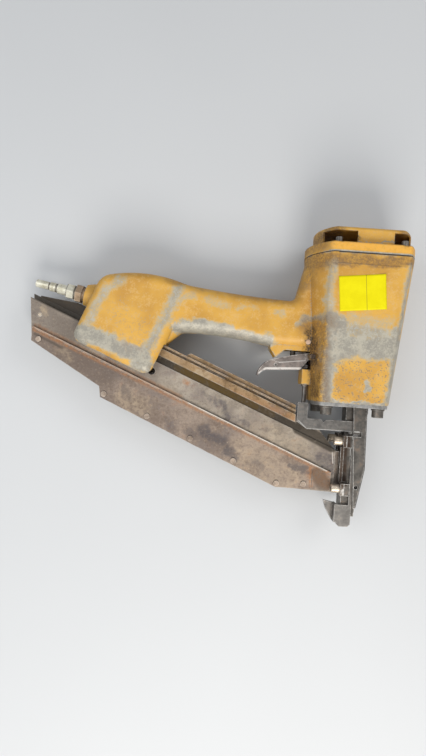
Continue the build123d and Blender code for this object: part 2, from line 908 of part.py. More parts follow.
with BuildPart() as sleeve_rings:
    for ring_y in sleeve_ring_levels:
        with BuildSketch(Plane.XY):
            with Locations((sleeve_radius - ring_section / 2, ring_y)):
                Rectangle(ring_section, ring_section)
        revolve(axis=Axis.Y)
sleeve_rings.part.label = "sleeve_rings"
export_step(sleeve_rings.part, "parts/sleeve_rings.step")

# Rubber bumper in the foot of the cylinder
with BuildPart() as bumper:
    with BuildSketch(level(bumper_top_y)):
        Circle(sleeve_bore - seat_clearance)
        Circle(bumper_hole, mode=Mode.SUBTRACT)
    extrude(amount=bumper_top_y - floor_y)
    fillet(bumper.faces().sort_by(Axis.Y)[-1].edges(), bumper_round)
bumper.part.label = "bumper"
export_step(bumper.part, "parts/bumper.step")

# Piston with its ring and driver blade
piston_radius = sleeve_bore - piston_clearance - piston_clearance / 2
piston_groove_y = piston_y + piston_height / 2
with BuildPart() as piston:
    with BuildSketch(level(piston_y + piston_height)):
        Circle(piston_radius)
    extrude(amount=piston_height)
    with BuildSketch(level(piston_y + piston_height)):
        Circle(piston_radius - piston_rim)
        Circle(piston_hub, mode=Mode.SUBTRACT)
    extrude(amount=piston_dish, mode=Mode.SUBTRACT)
    with BuildSketch(level(piston_groove_y + ring_section)):
        Circle(piston_radius)
        Circle(piston_radius - 2 * ring_section, mode=Mode.SUBTRACT)
    extrude(amount=2 * ring_section, mode=Mode.SUBTRACT)
    with BuildSketch(level(piston_y + piston_height)):
        Circle(driver_radius + running_clearance)
    extrude(amount=piston_height, mode=Mode.SUBTRACT)
piston.part.label = "piston"
export_step(piston.part, "parts/piston.step")

with BuildPart() as piston_ring:
    with BuildSketch(level(piston_groove_y + ring_section - running_clearance)):
        Circle(sleeve_bore - piston_clearance)
        Circle(piston_radius - 2 * ring_section + running_clearance, mode=Mode.SUBTRACT)
    extrude(amount=2 * (ring_section - running_clearance))
piston_ring.part.label = "piston_ring"
export_step(piston_ring.part, "parts/piston_ring.step")

driver_top_y = piston_y + piston_height
with BuildPart() as driver_blade:
    with BuildSketch(level(driver_top_y)):
        Circle(driver_radius)
    extrude(amount=driver_top_y - driver_tip_y)
    with BuildSketch(level(driver_top_y + driver_head)):
        Circle(piston_hub - seat_clearance)
    extrude(amount=driver_head)
    chamfer(driver_blade.edges().group_by(Axis.Y)[0], driver_chamfer)
driver_blade.part.label = "driver_blade"
export_step(driver_blade.part, "parts/driver_blade.step")

# Head valve that seats on the sleeve, its ring and its spring under the cap
head_valve_low_y = sleeve_top_y + seat_clearance
head_valve_floor_y = head_valve_low_y + head_valve_floor
with BuildPart() as head_valve:
    with BuildSketch(level(head_valve_top_y)):
        Circle(head_valve_radius)
    extrude(amount=head_valve_top_y - head_valve_low_y)
    with BuildSketch(level(head_valve_top_y)):
        Circle(head_valve_radius - head_valve_rim)
    extrude(amount=head_valve_top_y - head_valve_floor_y, mode=Mode.SUBTRACT)
    with BuildSketch(level(head_valve_tube_y)):
        Circle(exhaust_tube_radius)
    extrude(amount=head_valve_tube_y - head_valve_floor_y)
    with BuildSketch(level(head_valve_tube_y)):
        Circle(exhaust_bore)
    extrude(amount=head_valve_tube_y - head_valve_low_y, mode=Mode.SUBTRACT)
    with BuildSketch(level(head_valve_ring_y + ring_section / 2)):
        Circle(head_valve_radius)
        Circle(head_valve_radius - ring_section, mode=Mode.SUBTRACT)
    extrude(amount=ring_section, mode=Mode.SUBTRACT)
head_valve.part.label = "head_valve"
export_step(head_valve.part, "parts/head_valve.step")

with BuildPart() as head_valve_ring:
    with BuildSketch(Plane.XY):
        with Locations((head_valve_radius - ring_section / 2, head_valve_ring_y)):
            Rectangle(ring_section - 2 * running_clearance, ring_section - 2 * running_clearance)
    revolve(axis=Axis.Y)
head_valve_ring.part.label = "head_valve_ring"
export_step(head_valve_ring.part, "parts/head_valve_ring.step")

with BuildPart() as head_valve_spring:
    add(
        coil_spring(
            0,
            head_valve_floor_y + running_clearance,
            head_valve_ceiling_y - running_clearance,
            head_spring_radius,
            head_spring_wire,
            head_spring_turns,
        )
    )
head_valve_spring.part.label = "head_valve_spring"
export_step(head_valve_spring.part, "parts/head_valve_spring.step")

# Trigger valve: body held by a cross pin, stem, rings and spring
valve_groove = lock_pin[0] - valve_x - lock_pin_radius - seat_clearance / 2
valve_roof_y = valve_top_y - valve_roof
with BuildPart() as valve_body:
    with BuildSketch(level(valve_top_y)):
        with Locations((valve_x, 0)):
            Circle(valve_radius)
    extrude(amount=valve_top_y - trigger_roof_y)
    with BuildSketch(level(trigger_roof_y)):
        with Locations((valve_x, 0)):
            Circle(valve_snout_radius)
    extrude(amount=trigger_roof_y - valve_snout_y)
    with BuildSketch(level(valve_roof_y)):
        with Locations((valve_x, 0)):
            Circle(valve_chamber)
    extrude(amount=valve_roof_y - valve_chamber_y, mode=Mode.SUBTRACT)
    with BuildSketch(level(valve_chamber_y)):
        with Locations((valve_x, 0)):
            Circle(stem_radius + piston_clearance)
    extrude(amount=valve_chamber_y - valve_snout_y, mode=Mode.SUBTRACT)
    with BuildSketch(level(valve_top_y)):
        with Locations((valve_x, 0)):
            Circle(valve_vent)
    extrude(amount=valve_roof, mode=Mode.SUBTRACT)
    with BuildSketch(level(lock_pin[1] + lock_pin_radius + seat_clearance)):
        with Locations((valve_x, 0)):
            Circle(valve_radius)
            Circle(valve_groove, mode=Mode.SUBTRACT)
    extrude(amount=2 * (lock_pin_radius + seat_clearance), mode=Mode.SUBTRACT)
    for ring_y in valve_ring_levels:
        with BuildSketch(level(ring_y + ring_section / 2)):
            with Locations((valve_x, 0)):
                Circle(valve_radius)
                Circle(valve_radius - ring_section, mode=Mode.SUBTRACT)
        extrude(amount=ring_section, mode=Mode.SUBTRACT)
valve_body.part.label = "valve_body"
export_step(valve_body.part, "parts/valve_body.step")

with BuildPart() as valve_rings:
    for ring_y in valve_ring_levels:
        with BuildSketch(Plane.XY):
            with Locations((valve_x + valve_radius - ring_section / 2, ring_y)):
                Rectangle(ring_section - 2 * running_clearance, ring_section - 2 * running_clearance)
        revolve(axis=valve_axis)
valve_rings.part.label = "valve_rings"
export_step(valve_rings.part, "parts/valve_rings.step")

stem_head_y = valve_chamber_y + seat_clearance
stem_shoulder_y = stem_head_y + stem_head_length
with BuildPart() as valve_stem:
    with BuildSketch(level(stem_head_y)):
        with Locations((valve_x, 0)):
            Circle(stem_radius)
    extrude(amount=stem_head_y - stem_low_y)
    with BuildSketch(level(stem_shoulder_y)):
        with Locations((valve_x, 0)):
            Circle(stem_head)
    extrude(amount=stem_head_length)
    with BuildSketch(level(stem_shoulder_y + stem_head_length)):
        with Locations((valve_x, 0)):
            Circle(stem_spigot)
    extrude(amount=stem_head_length)
    fillet(valve_stem.edges().group_by(Axis.Y)[0], stem_radius / 2)
valve_stem.part.label = "valve_stem"
export_step(valve_stem.part, "parts/valve_stem.step")

with BuildPart() as valve_spring:
    add(
        coil_spring(
            valve_x,
            stem_shoulder_y + running_clearance,
            valve_roof_y - running_clearance,
            valve_spring_radius,
            valve_spring_wire,
            valve_spring_turns,
        )
    )
valve_spring.part.label = "valve_spring"
export_step(valve_spring.part, "parts/valve_spring.step")

with BuildPart() as valve_lock_pin:
    with BuildSketch(Plane.XY):
        with Locations(lock_pin):
            Circle(lock_pin_radius)
    extrude(amount=lock_pin_half, both=True)
valve_lock_pin.part.label = "valve_lock_pin"
export_step(valve_lock_pin.part, "parts/valve_lock_pin.step")

# Trigger: a folded channel with a hooked finger rest
trigger_pitch = (trigger_front_low[1] - trigger_rear_low[1]) / (trigger_front_low[0] - trigger_rear_low[0])


def trigger_floor_y(x):
    """Height of the channel's inner floor."""
    return trigger_rear_low[1] + trigger_floor + trigger_pitch * (x - trigger_rear_low[0])


with BuildPart() as trigger:
    with BuildSketch(Plane.XY):
        with BuildLine():
            hook_end = (trigger_hook_tip[0] + trigger_hook_thickness, trigger_hook_tip[1])
            ThreePointArc(trigger_rear_top, trigger_hook_bow, trigger_hook_tip)
            Line(trigger_hook_tip, hook_end)
            ThreePointArc(hook_end, trigger_hook_inner, trigger_rear_low)
            Polyline(
                trigger_rear_low,
                trigger_front_low,
                (trigger_pivot[0] - trigger_ear / 2, trigger_pivot[1] - trigger_ear / 2),
                (trigger_pivot[0] - trigger_ear / 2, trigger_pivot[1] + trigger_ear / 2),
                trigger_front_top,
                trigger_rise,
                trigger_rear_top,
            )
        make_face()
        with Locations(trigger_pivot):
            Circle(trigger_ear)
    extrude(amount=trigger_half_width, both=True)
    with BuildSketch(Plane.XY):
        add(
            outline(
                (trigger_rear_top[0], trigger_roof_y),
                (trigger_rear_top[0], trigger_floor_y(trigger_rear_top[0])),
                (trigger_pivot[0] + trigger_pocket, trigger_floor_y(trigger_pivot[0] + trigger_pocket)),
                (trigger_pivot[0] + trigger_pocket, trigger_roof_y),
            )
        )
    extrude(amount=trigger_half_width - trigger_wall, both=True, mode=Mode.SUBTRACT)
    # Fold along both sides, above which the walls stand in
    for side in (1, -1):
        with BuildSketch(Plane.XY.offset(side * trigger_half_width)):
            add(
                outline(
                    trigger_rear_top,
                    trigger_fold_rear,
                    trigger_fold_front,
                    (trigger_fold_front[0], trigger_roof_y),
                    (trigger_rear_top[0], trigger_roof_y),
                )
            )
        extrude(amount=-side * trigger_fold, mode=Mode.SUBTRACT)
    with BuildSketch(Plane.XY):
        with Locations(trigger_pivot):
            Circle(trigger_pin_radius + running_clearance)
        with Locations(lever_pivot):
            Circle(lever_pin_radius + running_clearance)
    extrude(amount=trigger_half_width, both=True, mode=Mode.SUBTRACT)
trigger.part.label = "trigger"
export_step(trigger.part, "parts/trigger.step")

with BuildPart() as trigger_pin:
    with BuildSketch(Plane.XY):
        with Locations(trigger_pivot):
            Circle(trigger_pin_radius)
    extrude(amount=lug_outer, both=True)
    with BuildSketch(Plane.XY.offset(lug_outer)):
        with Locations(trigger_pivot):
            Circle(trigger_pin_head)
    extrude(amount=trigger_pin_head / 2)
trigger_pin.part.label = "trigger_pin"
export_step(trigger_pin.part, "parts/trigger_pin.step")

with BuildPart() as trigger_lever:
    with BuildSketch(Plane.XY):
        add(
            outline(
                (lever_pivot[0], lever_pivot[1] + lever_hub),
                (lever_pivot[0], lever_pivot[1]),
                (lever_pivot[0] + lever_hub, lever_low_y),
                (lever_front, lever_low_y),
                (lever_front, lever_low_y + lever_hub),
                (valve_x + stem_radius, lever_top_y),
                (valve_x - stem_radius, lever_top_y),
            )
        )
        with Locations(lever_pivot):
            Circle(lever_hub)
            Circle(lever_pin_radius + running_clearance, mode=Mode.SUBTRACT)
    extrude(amount=lever_half_width, both=True)
trigger_lever.part.label = "trigger_lever"
export_step(trigger_lever.part, "parts/trigger_lever.step")

with BuildPart() as lever_pin:
    with BuildSketch(Plane.XY):
        with Locations(lever_pivot):
            Circle(lever_pin_radius)
    extrude(amount=trigger_half_width, both=True)
lever_pin.part.label = "lever_pin"
export_step(lever_pin.part, "parts/lever_pin.step")

# Nose: flange, guide for the driver blade, feed slot and ears for the magazine
arm_inner = nose_half_width + arm_clearance
arm_outer = arm_inner + arm_thickness
plate_inner = arm_outer + arm_clearance
ear_rear = -nose_rear
ear_front = ear_thickness - nose_rear
ear_levels = (ear_low_y, ear_high_y)
ear_places = [(y, z) for y in ear_levels for z in (-ear_bolt_z, ear_bolt_z)]
nose_front_edge = [(nose_front_top, nose_top_y), (nose_front, nose_knee_y), nose_toe]
with BuildPart() as nose_plate:
    with BuildSketch(level(base_y)):
        add(base_section(nose_inset))
    extrude(amount=nose_flange)
    with BuildSketch(level(floor_y)):
        Circle(nose_spigot)
    extrude(amount=floor_y - base_y)
    with BuildSketch(level(floor_y)):
        Circle(drive_bore)
    extrude(amount=floor_y - nose_top_y, mode=Mode.SUBTRACT)
    with BuildSketch(level(base_y)):
        with Locations(*nose_bolt_places):
            Circle(nose_bolt_radius + running_clearance)
    extrude(amount=nose_flange, mode=Mode.SUBTRACT)
nose_plate.part.label = "nose_plate"
export_step(nose_plate.part, "parts/nose_plate.step")

with BuildPart() as nose_body:
    with BuildSketch(Plane.XY):
        add(
            outline(
                (ear_rear, nose_top_y),
                *nose_front_edge,
                (nose_tip_front, muzzle_y),
                (ear_rear, muzzle_y),
            )
        )
    extrude(amount=nose_half_width, both=True)
    with BuildSketch(Plane.XY.offset(nose_half_width)):
        rib_rear = bar_front + arm_clearance
        add(outline((rib_rear, nose_top_y), *nose_front_edge, (rib_rear, nose_toe[1])))
    extrude(amount=plate_inner - nose_half_width)
    with BuildSketch(Plane.XY):
        for ear_y in ear_levels:
            add(rectangle_between(ear_rear, ear_y - ear_half_height, ear_front, ear_y + ear_half_height))
    extrude(amount=ear_half_width, both=True)
    with BuildSketch(level(nose_top_y)):
        Circle(drive_bore)
    extrude(amount=nose_top_y - muzzle_y, mode=Mode.SUBTRACT)
    with BuildSketch(level(muzzle_y + muzzle_depth)):
        Circle(muzzle_bore)
    extrude(amount=muzzle_depth, mode=Mode.SUBTRACT)
    with BuildSketch(Plane.XY):
        add(rectangle_between(ear_rear, feed_low_y, 0, feed_high_y))
    extrude(amount=feed_half_width, both=True, mode=Mode.SUBTRACT)
    with BuildSketch(Plane.YZ.offset(ear_rear)):
        with Locations(*ear_places):
            Circle(plate_bolt_radius + running_clearance)
    extrude(amount=ear_thickness, mode=Mode.SUBTRACT)
nose_body.part.label = "nose_body"
export_step(nose_body.part, "parts/nose_body.step")

nose_bolt = socket_screw(
    nose_bolt_radius,
    nose_flange + nose_bolt_depth - seat_clearance,
    nose_bolt_head,
    nose_bolt_head_length,
    washer_thickness,
)
nose_bolt_planes = [Plane(origin=(x, nose_top_y, z), z_dir=(0, -1, 0)) for x, z in nose_bolt_places]
with BuildPart() as nose_bolts:
    with Locations(*nose_bolt_planes):
        add(nose_bolt)
nose_bolts.part.label = "nose_bolts"
export_step(nose_bolts.part, "parts/nose_bolts.step")

with BuildPart() as nose_washers:
    with BuildSketch(*nose_bolt_planes):
        Circle(nose_bolt_head + washer_thickness / 2)
        Circle(nose_bolt_radius + running_clearance, mode=Mode.SUBTRACT)
    extrude(amount=washer_thickness)
nose_washers.part.label = "nose_washers"
export_step(nose_washers.part, "parts/nose_washers.step")

# Plate over the contact bar
with BuildPart() as nose_side_plate:
    with BuildSketch(Plane.XY.offset(plate_inner)):
        add(outline((side_plate_top_x, nose_top_y), *nose_front_edge, (side_plate_toe_x, nose_toe[1])))
        add(rectangle_between(*side_plate_notch), mode=Mode.SUBTRACT)
        with Locations(side_plate_hole):
            Circle(side_plate_hole_radius, mode=Mode.SUBTRACT)
    extrude(amount=side_plate)
    front_edges = nose_side_plate.faces().sort_by(Axis.Z)[-1].edges().sort_by(Axis.X)[-2:]
    chamfer(front_edges, side_plate_chamfer)
nose_side_plate.part.label = "nose_side_plate"
export_step(nose_side_plate.part, "parts/nose_side_plate.step")

# Contact arm: foot with its sliding bar, bracket round the nose, and the rod to the trigger
with BuildPart() as contact_foot:
    with BuildSketch(Plane.XY.offset(arm_inner)):
        add(
            outline(
                (foot_rear, foot_top_y),
                (bar_rear, foot_top_y),
                (bar_rear, bar_top_y),
                (bar_front, bar_top_y),
                (bar_front, bar_shoulder_y),
                (foot_front, foot_top_y),
                (foot_front, foot_tip_y + foot_chamfer),
                (foot_front - foot_chamfer, foot_tip_y),
                (foot_rear + foot_chamfer, foot_tip_y),
                (foot_rear, foot_tip_y + foot_chamfer),
            )
        )
    extrude(amount=arm_thickness)
    with BuildSketch(Plane.XY.offset(-tine_half_width)):
        add(rectangle_between(foot_rear - foot_web, foot_web_low_y, foot_rear, foot_top_y))
    extrude(amount=arm_outer + tine_half_width)
    with BuildSketch(Plane.XY):
        add(
            outline(
                (foot_rear - foot_web, foot_web_low_y),
                (foot_rear - foot_web, foot_top_y),
                tine_tip,
                (tine_tip[0] + foot_web, foot_web_low_y + foot_top_y),
            )
        )
    extrude(amount=tine_half_width, both=True)
contact_foot.part.label = "contact_foot"
export_step(contact_foot.part, "parts/contact_foot.step")

with BuildPart() as contact_bracket:
    with BuildSketch(Plane.XY.offset(arm_inner)):
        add(
            outline(
                (bar_rear, bracket_low_y),
                (bar_rear, bracket_high_y),
                (bracket_notch_x + bracket_notch, bracket_high_y),
                (bracket_notch_x, bracket_high_y - bracket_notch),
                (bracket_notch_x - bracket_notch, bracket_high_y),
                (bracket_inner, bracket_high_y),
                (bracket_inner, bracket_top_y),
                (bracket_rear, bracket_top_y),
                (bracket_rear, bracket_low_y + bracket_corner),
                (bracket_rear + bracket_corner_run, bracket_low_y),
            )
        )
    extrude(amount=arm_thickness)
    with BuildSketch(Plane.XY.offset(-rod_collar)):
        add(rectangle_between(tab_rear, tab_top_y - tab_thickness, tab_front, tab_top_y))
    extrude(amount=rod_collar + arm_inner)
    with BuildSketch(level(tab_top_y)):
        with Locations((rod_x, 0)):
            Circle(rod_radius + running_clearance)
    extrude(amount=tab_thickness, mode=Mode.SUBTRACT)
contact_bracket.part.label = "contact_bracket"
export_step(contact_bracket.part, "parts/contact_bracket.step")

with BuildPart() as contact_rod:
    with BuildSketch(level(rod_top_y)):
        with Locations((rod_x, 0)):
            Circle(rod_radius)
    extrude(amount=rod_top_y - tab_top_y + tab_thickness)
    with BuildSketch(level(lug_low_y)):
        with Locations((rod_x, 0)):
            Circle(rod_collar)
    extrude(amount=rod_collar_length)
contact_rod.part.label = "contact_rod"
export_step(contact_rod.part, "parts/contact_rod.step")

with BuildPart() as contact_spring:
    add(
        coil_spring(
            rod_x,
            lug_low_y + running_clearance,
            lug_shelf_y - lug_shelf - running_clearance,
            contact_spring_radius,
            contact_spring_wire,
            contact_spring_turns,
        )
    )
contact_spring.part.label = "contact_spring"
export_step(contact_spring.part, "parts/contact_spring.step")

# Magazine: a folded channel with riveted covers, two guide rails and a top strip
channel_low_edge = [
    (along_at(channel_rear_x, channel_rear_low), channel_rear_low),
    channel_bend,
    channel_step,
    channel_deep,
]
channel_front_edge = [
    (along_at(channel_front_x, channel_front_low), channel_front_low),
    (along_at(channel_front_x, channel_front_top), channel_front_top),
]
rivet_pitch = (
    (rivet_last[0] - rivet_first[0]) / (rivet_count - 1),
    (rivet_last[1] - rivet_first[1]) / (rivet_count - 1),
)
rivet_places = [
    (rivet_first[0] + i * rivet_pitch[0], rivet_first[1] + i * rivet_pitch[1])
    for i in range(rivet_count)
]
rivet_places += [rivet_rear, rivet_front]
with BuildPart() as magazine_channel:
    with BuildSketch(magazine_plane):
        add(
            outline(
                (channel_rear_step, channel_top),
                (channel_rear_step, channel_rear_top),
                (along_at(channel_rear_top_x, channel_rear_top), channel_rear_top),
                *channel_low_edge,
                *channel_front_edge,
                (channel_shoulder, channel_top),
            )
        )
    extrude(amount=channel_half, both=True)
    with BuildSketch(magazine_plane):
        inner_low = [(x, y + channel_floor) for x, y in channel_low_edge]
        inner_front = (channel_front_edge[0][0], channel_front_edge[0][1] + channel_floor)
        add(
            outline(
                (inner_low[0][0] - channel_top, channel_top),
                (inner_low[0][0] - channel_top, inner_low[0][1]),
                *inner_low,
                inner_front,
                (inner_front[0] + channel_top, inner_front[1]),
                (inner_front[0] + channel_top, channel_top),
            )
        )
    extrude(amount=nail_gap / 2, both=True, mode=Mode.SUBTRACT)
    with BuildSketch(magazine_plane):
        add(
            rectangle_between(
                channel_low_edge[0][0] - channel_top,
                channel_rear_right,
                channel_rear_step,
                channel_rear_top,
            )
        )
    extrude(amount=channel_half, mode=Mode.SUBTRACT)
    for side in (1, -1):
        with BuildSketch(magazine_plane.offset(side * channel_half)):
            rail_end = along_at(rail_front_x, rail_bottom)
            add(rectangle_between(channel_recess_rear, channel_recess_low, rail_end, rail_bottom))
            add(rectangle_between(rail_end, channel_recess_low, channel_front_x + channel_top, channel_top))
        extrude(amount=-side * channel_recess, mode=Mode.SUBTRACT)
    with BuildSketch(magazine_plane):
        with Locations(channel_hole):
            Circle(channel_hole_radius)
        with Locations(*rivet_places):
            Circle(rivet_radius + running_clearance)
    extrude(amount=channel_half, both=True, mode=Mode.SUBTRACT)
    with BuildSketch(magazine_plane):
        with Locations(latch_pin):
            Circle(latch_pin_radius + running_clearance)
    extrude(amount=channel_half, mode=Mode.SUBTRACT)
magazine_channel.part.label = "magazine_channel"
export_step(magazine_channel.part, "parts/magazine_channel.step")

with BuildPart() as cover_plate:
    with BuildSketch(magazine_plane.offset(channel_half)):
        add(
            outline(
                (along_at(channel_rear_x, 0), 0),
                *channel_low_edge,
                (along_at(cover_front_x, channel_front_low), channel_front_low),
                (along_at(cover_front_x, 0), 0),
            )
        )
        with Locations(*rivet_places):
            Circle(rivet_radius + running_clearance, mode=Mode.SUBTRACT)
    extrude(amount=cover_thickness)
    with BuildSketch(magazine_plane.offset(channel_half)):
        lip_rear = along_at(channel_rear_x, 0)
        lip_front = along_at(cover_front_x, 0)
        add(rectangle_between(lip_rear, -cover_lip, lip_front, cover_lip))
    extrude(amount=cover_thickness + cover_lip)

with BuildPart() as cover_right:
    add(cover_plate.part)
    with BuildSketch(Plane.XY.offset(cover_half)):
        add(rectangle_between(cover_seam_x, 0, cover_seam_x + cover_seam, magazine_origin[1]))
    extrude(amount=-cover_seam, mode=Mode.SUBTRACT)
cover_right.part.label = "cover_right"
export_step(cover_right.part, "parts/cover_right.step")

with BuildPart() as cover_left:
    add(mirror(cover_plate.part, about=Plane.XY))
cover_left.part.label = "cover_left"
export_step(cover_left.part, "parts/cover_left.step")

with BuildPart() as magazine_rivets:
    for rivet_x, rivet_y in rivet_places:
        with BuildSketch(magazine_plane.offset(-cover_half)):
            with Locations((rivet_x, rivet_y)):
                Circle(rivet_radius)
        extrude(amount=2 * cover_half)
        for side in (1, -1):
            with BuildSketch(magazine_plane.offset(side * cover_half)):
                with Locations((rivet_x, rivet_y)):
                    Circle(rivet_head)
            extrude(amount=side * rivet_head_height)
magazine_rivets.part.label = "magazine_rivets"
export_step(magazine_rivets.part, "parts/magazine_rivets.step")

# Guide rails: the left one has a long slot for the pusher's tab, the right one a blind groove
with BuildPart() as rail_bar:
    with BuildSketch(magazine_plane.offset(channel_half)):
        add(
            outline(
                (rail_rear, rail_bottom),
                (along_at(rail_front_x, rail_bottom), rail_bottom),
                (along_at(rail_front_x, rail_top), rail_top),
                (rail_rear, rail_top),
            )
        )
    extrude(amount=rail_depth)

groove_low = rail_groove - rail_groove_width / 2
groove_high = rail_groove + rail_groove_width / 2
with BuildPart() as rail_right:
    add(rail_bar.part)
    with BuildSketch(magazine_plane.offset(rail_half)):
        add(rectangle_between(rail_rear, groove_low, 0, groove_high))
    extrude(amount=-rail_groove_width, mode=Mode.SUBTRACT)
rail_right.part.label = "rail_right"
export_step(rail_right.part, "parts/rail_right.step")

with BuildPart() as rail_left:
    add(mirror(rail_bar.part, about=Plane.XY))
    with BuildSketch(magazine_plane.offset(-channel_half)):
        add(
            outline(
                (along_at(rail_left_rear_x, rail_bottom), rail_bottom),
                (rail_rear, rail_bottom),
                (rail_rear, rail_top),
                (rail_left_taper, rail_top),
                (along_at(rail_left_rear_x, rail_bottom), rail_bottom + rail_left_tip),
            )
        )
    extrude(amount=-rail_depth)
    with BuildSketch(magazine_plane):
        add(
            rectangle_between(
                tab_rear_x - pusher_travel - slot_margin,
                groove_low,
                tab_front_x + slot_margin,
                groove_high,
            )
        )
    extrude(amount=-rail_half, mode=Mode.SUBTRACT)
rail_left.part.label = "rail_left"
export_step(rail_left.part, "parts/rail_left.step")

with BuildPart() as top_strip:
    with BuildSketch(magazine_plane):
        strip_top = rail_top + strip_thickness
        add(
            outline(
                (strip_rear, rail_top),
                (along_at(rail_front_x, rail_top), rail_top),
                (along_at(rail_front_x, strip_top), strip_top),
                (strip_rear + strip_slant, strip_top),
            )
        )
    extrude(amount=strip_half_width, both=True)
top_strip.part.label = "top_strip"
export_step(top_strip.part, "parts/top_strip.step")

# Hanger that ties the magazine to the hood
with BuildPart() as hanger:
    with BuildSketch(magazine_plane):
        add(
            rectangle_between(
                hanger_x - hanger_half_length,
                rail_top,
                hanger_x + hanger_half_length,
                rail_top + hanger_height,
            )
        )
        with Locations((hanger_x, hanger_bolt_y)):
            Circle(hanger_bolt_radius + running_clearance, mode=Mode.SUBTRACT)
    extrude(amount=hanger_half_width, both=True)
hanger.part.label = "hanger"
export_step(hanger.part, "parts/hanger.step")

hanger_bolt_place = on_magazine(hanger_x, hanger_bolt_y)
with BuildPart() as hanger_bolt:
    with Locations(Plane(origin=(*hanger_bolt_place, -hood_half_width), z_dir=(0, 0, -1))):
        add(
            socket_screw(
                hanger_bolt_radius,
                hood_half_width + hanger_bolt_reach - seat_clearance,
                plate_bolt_head,
                plate_bolt_head_length,
            )
        )
hanger_bolt.part.label = "hanger_bolt"
export_step(hanger_bolt.part, "parts/hanger_bolt.step")

# Spring leaf that keeps nails from sliding back out of the open rear end, and its pin
latch_inner = nail_gap / 2 - latch_thickness
with BuildPart() as nail_latch:
    with BuildSketch(magazine_plane.offset(latch_inner)):
        latch_rear_x = channel_rear_x + latch_margin
        latch_front_x = latch_rear_x + latch_length
        add(
            outline(
                (along_at(latch_rear_x, latch_low), latch_low),
                (along_at(latch_front_x, latch_low), latch_low),
                (along_at(latch_front_x, latch_high), latch_high),
                (along_at(latch_rear_x, latch_high), latch_high),
            )
        )
        with Locations(latch_pin):
            Circle(latch_pin_radius + running_clearance, mode=Mode.SUBTRACT)
    extrude(amount=latch_thickness)
nail_latch.part.label = "nail_latch"
export_step(nail_latch.part, "parts/nail_latch.step")

with BuildPart() as nail_latch_pin:
    with BuildSketch(magazine_plane.offset(latch_inner)):
        with Locations(latch_pin):
            Circle(latch_pin_radius)
    extrude(amount=channel_half - latch_pin_recess - latch_inner)
nail_latch_pin.part.label = "nail_latch_pin"
export_step(nail_latch_pin.part, "parts/nail_latch_pin.step")

# Pusher with its thumb tab, and the rolled spring that draws it to the nose
pusher_half = nail_gap / 2 - pusher_clearance
pusher_lean = (pusher_high - pusher_low) * math.tan(slope)
tab_low = rail_groove - tab_plate / 2
tab_high = rail_groove + tab_plate / 2
with BuildPart() as pusher:
    with BuildSketch(magazine_plane):
        pusher_top_front = pusher_front - pusher_lean
        add(
            outline(
                (pusher_front, pusher_low),
                (pusher_top_front, pusher_high),
                (pusher_front - pusher_length, pusher_high),
                (pusher_front - pusher_length, pusher_shoulder),
                (pusher_top_front - pusher_foot_length, pusher_shoulder),
                (pusher_front - pusher_foot_length, pusher_low),
            )
        )
        add(rectangle_between(tab_rear_x, pusher_shoulder, tab_front_x, tab_high))
    extrude(amount=pusher_half, both=True)
    with BuildSketch(magazine_plane):
        add(rectangle_between(tab_rear_x, tab_low, tab_front_x, tab_high))
    extrude(amount=-tab_pad_half)
    with BuildSketch(magazine_plane.offset(-tab_pad_half)):
        add(rectangle_between(tab_rear_x, tab_pad_low, tab_front_x, tab_pad_high))
    extrude(amount=tab_pad_half - rail_half - tab_pad_gap)
    with BuildSketch(magazine_plane):
        with Locations(pusher_spool):
            Circle(pusher_spool_radius + seat_clearance)
    extrude(amount=pusher_spool_half, both=True, mode=Mode.SUBTRACT)
    with BuildSketch(magazine_plane):
        with Locations(pusher_spool):
            Circle(pusher_spool_pin)
    extrude(amount=pusher_spool_half, both=True)
pusher.part.label = "pusher"
export_step(pusher.part, "parts/pusher.step")

with BuildPart() as pusher_spring:
    with BuildSketch(magazine_plane):
        with Locations(pusher_spool):
            Circle(pusher_spool_radius)
            Circle(pusher_spool_pin + seat_clearance, mode=Mode.SUBTRACT)
    extrude(amount=pusher_spool_half - seat_clearance, both=True)
pusher_spring.part.label = "pusher_spring"
export_step(pusher_spring.part, "parts/pusher_spring.step")

# Flange and neck that bolt the magazine to the nose
flange_rear = ear_rear - magazine_flange
with BuildPart() as magazine_ear:
    with BuildSketch(Plane.YZ.offset(flange_rear)):
        add(
            rectangle_between(
                ear_low_y - ear_half_height,
                -flange_half_width,
                ear_high_y + ear_half_height,
                flange_half_width,
            )
        )
        for ear_y in ear_levels:
            add(
                rectangle_between(
                    ear_y - ear_half_height,
                    -ear_half_width,
                    ear_y + ear_half_height,
                    ear_half_width,
                )
            )
        with Locations(*ear_places):
            Circle(plate_bolt_radius + running_clearance, mode=Mode.SUBTRACT)
    extrude(amount=magazine_flange)
    with BuildSketch(Plane.XY):
        add(rectangle_between(channel_front_x, neck_low_y, flange_rear, neck_high_y))
    extrude(amount=neck_half_width, both=True)
    with BuildSketch(Plane.XY):
        add(rectangle_between(channel_front_x, feed_low_y + flange_sill, ear_rear, nose_top_y))
    extrude(amount=feed_half_width, both=True, mode=Mode.SUBTRACT)
magazine_ear.part.label = "magazine_ear"
export_step(magazine_ear.part, "parts/magazine_ear.step")

plate_bolt = socket_screw(
    plate_bolt_radius,
    magazine_flange + ear_thickness,
    plate_bolt_head,
    plate_bolt_head_length,
    washer_thickness,
)
plate_bolt_planes = [Plane(origin=(flange_rear, y, z), z_dir=(-1, 0, 0)) for y, z in ear_places]
with BuildPart() as plate_bolts:
    with Locations(*plate_bolt_planes):
        add(plate_bolt)
plate_bolts.part.label = "plate_bolts"
export_step(plate_bolts.part, "parts/plate_bolts.step")

with BuildPart() as plate_washers:
    with BuildSketch(*plate_bolt_planes):
        Circle(plate_bolt_head)
        Circle(plate_bolt_radius + running_clearance, mode=Mode.SUBTRACT)
    extrude(amount=washer_thickness)
plate_washers.part.label = "plate_washers"
export_step(plate_washers.part, "parts/plate_washers.step")

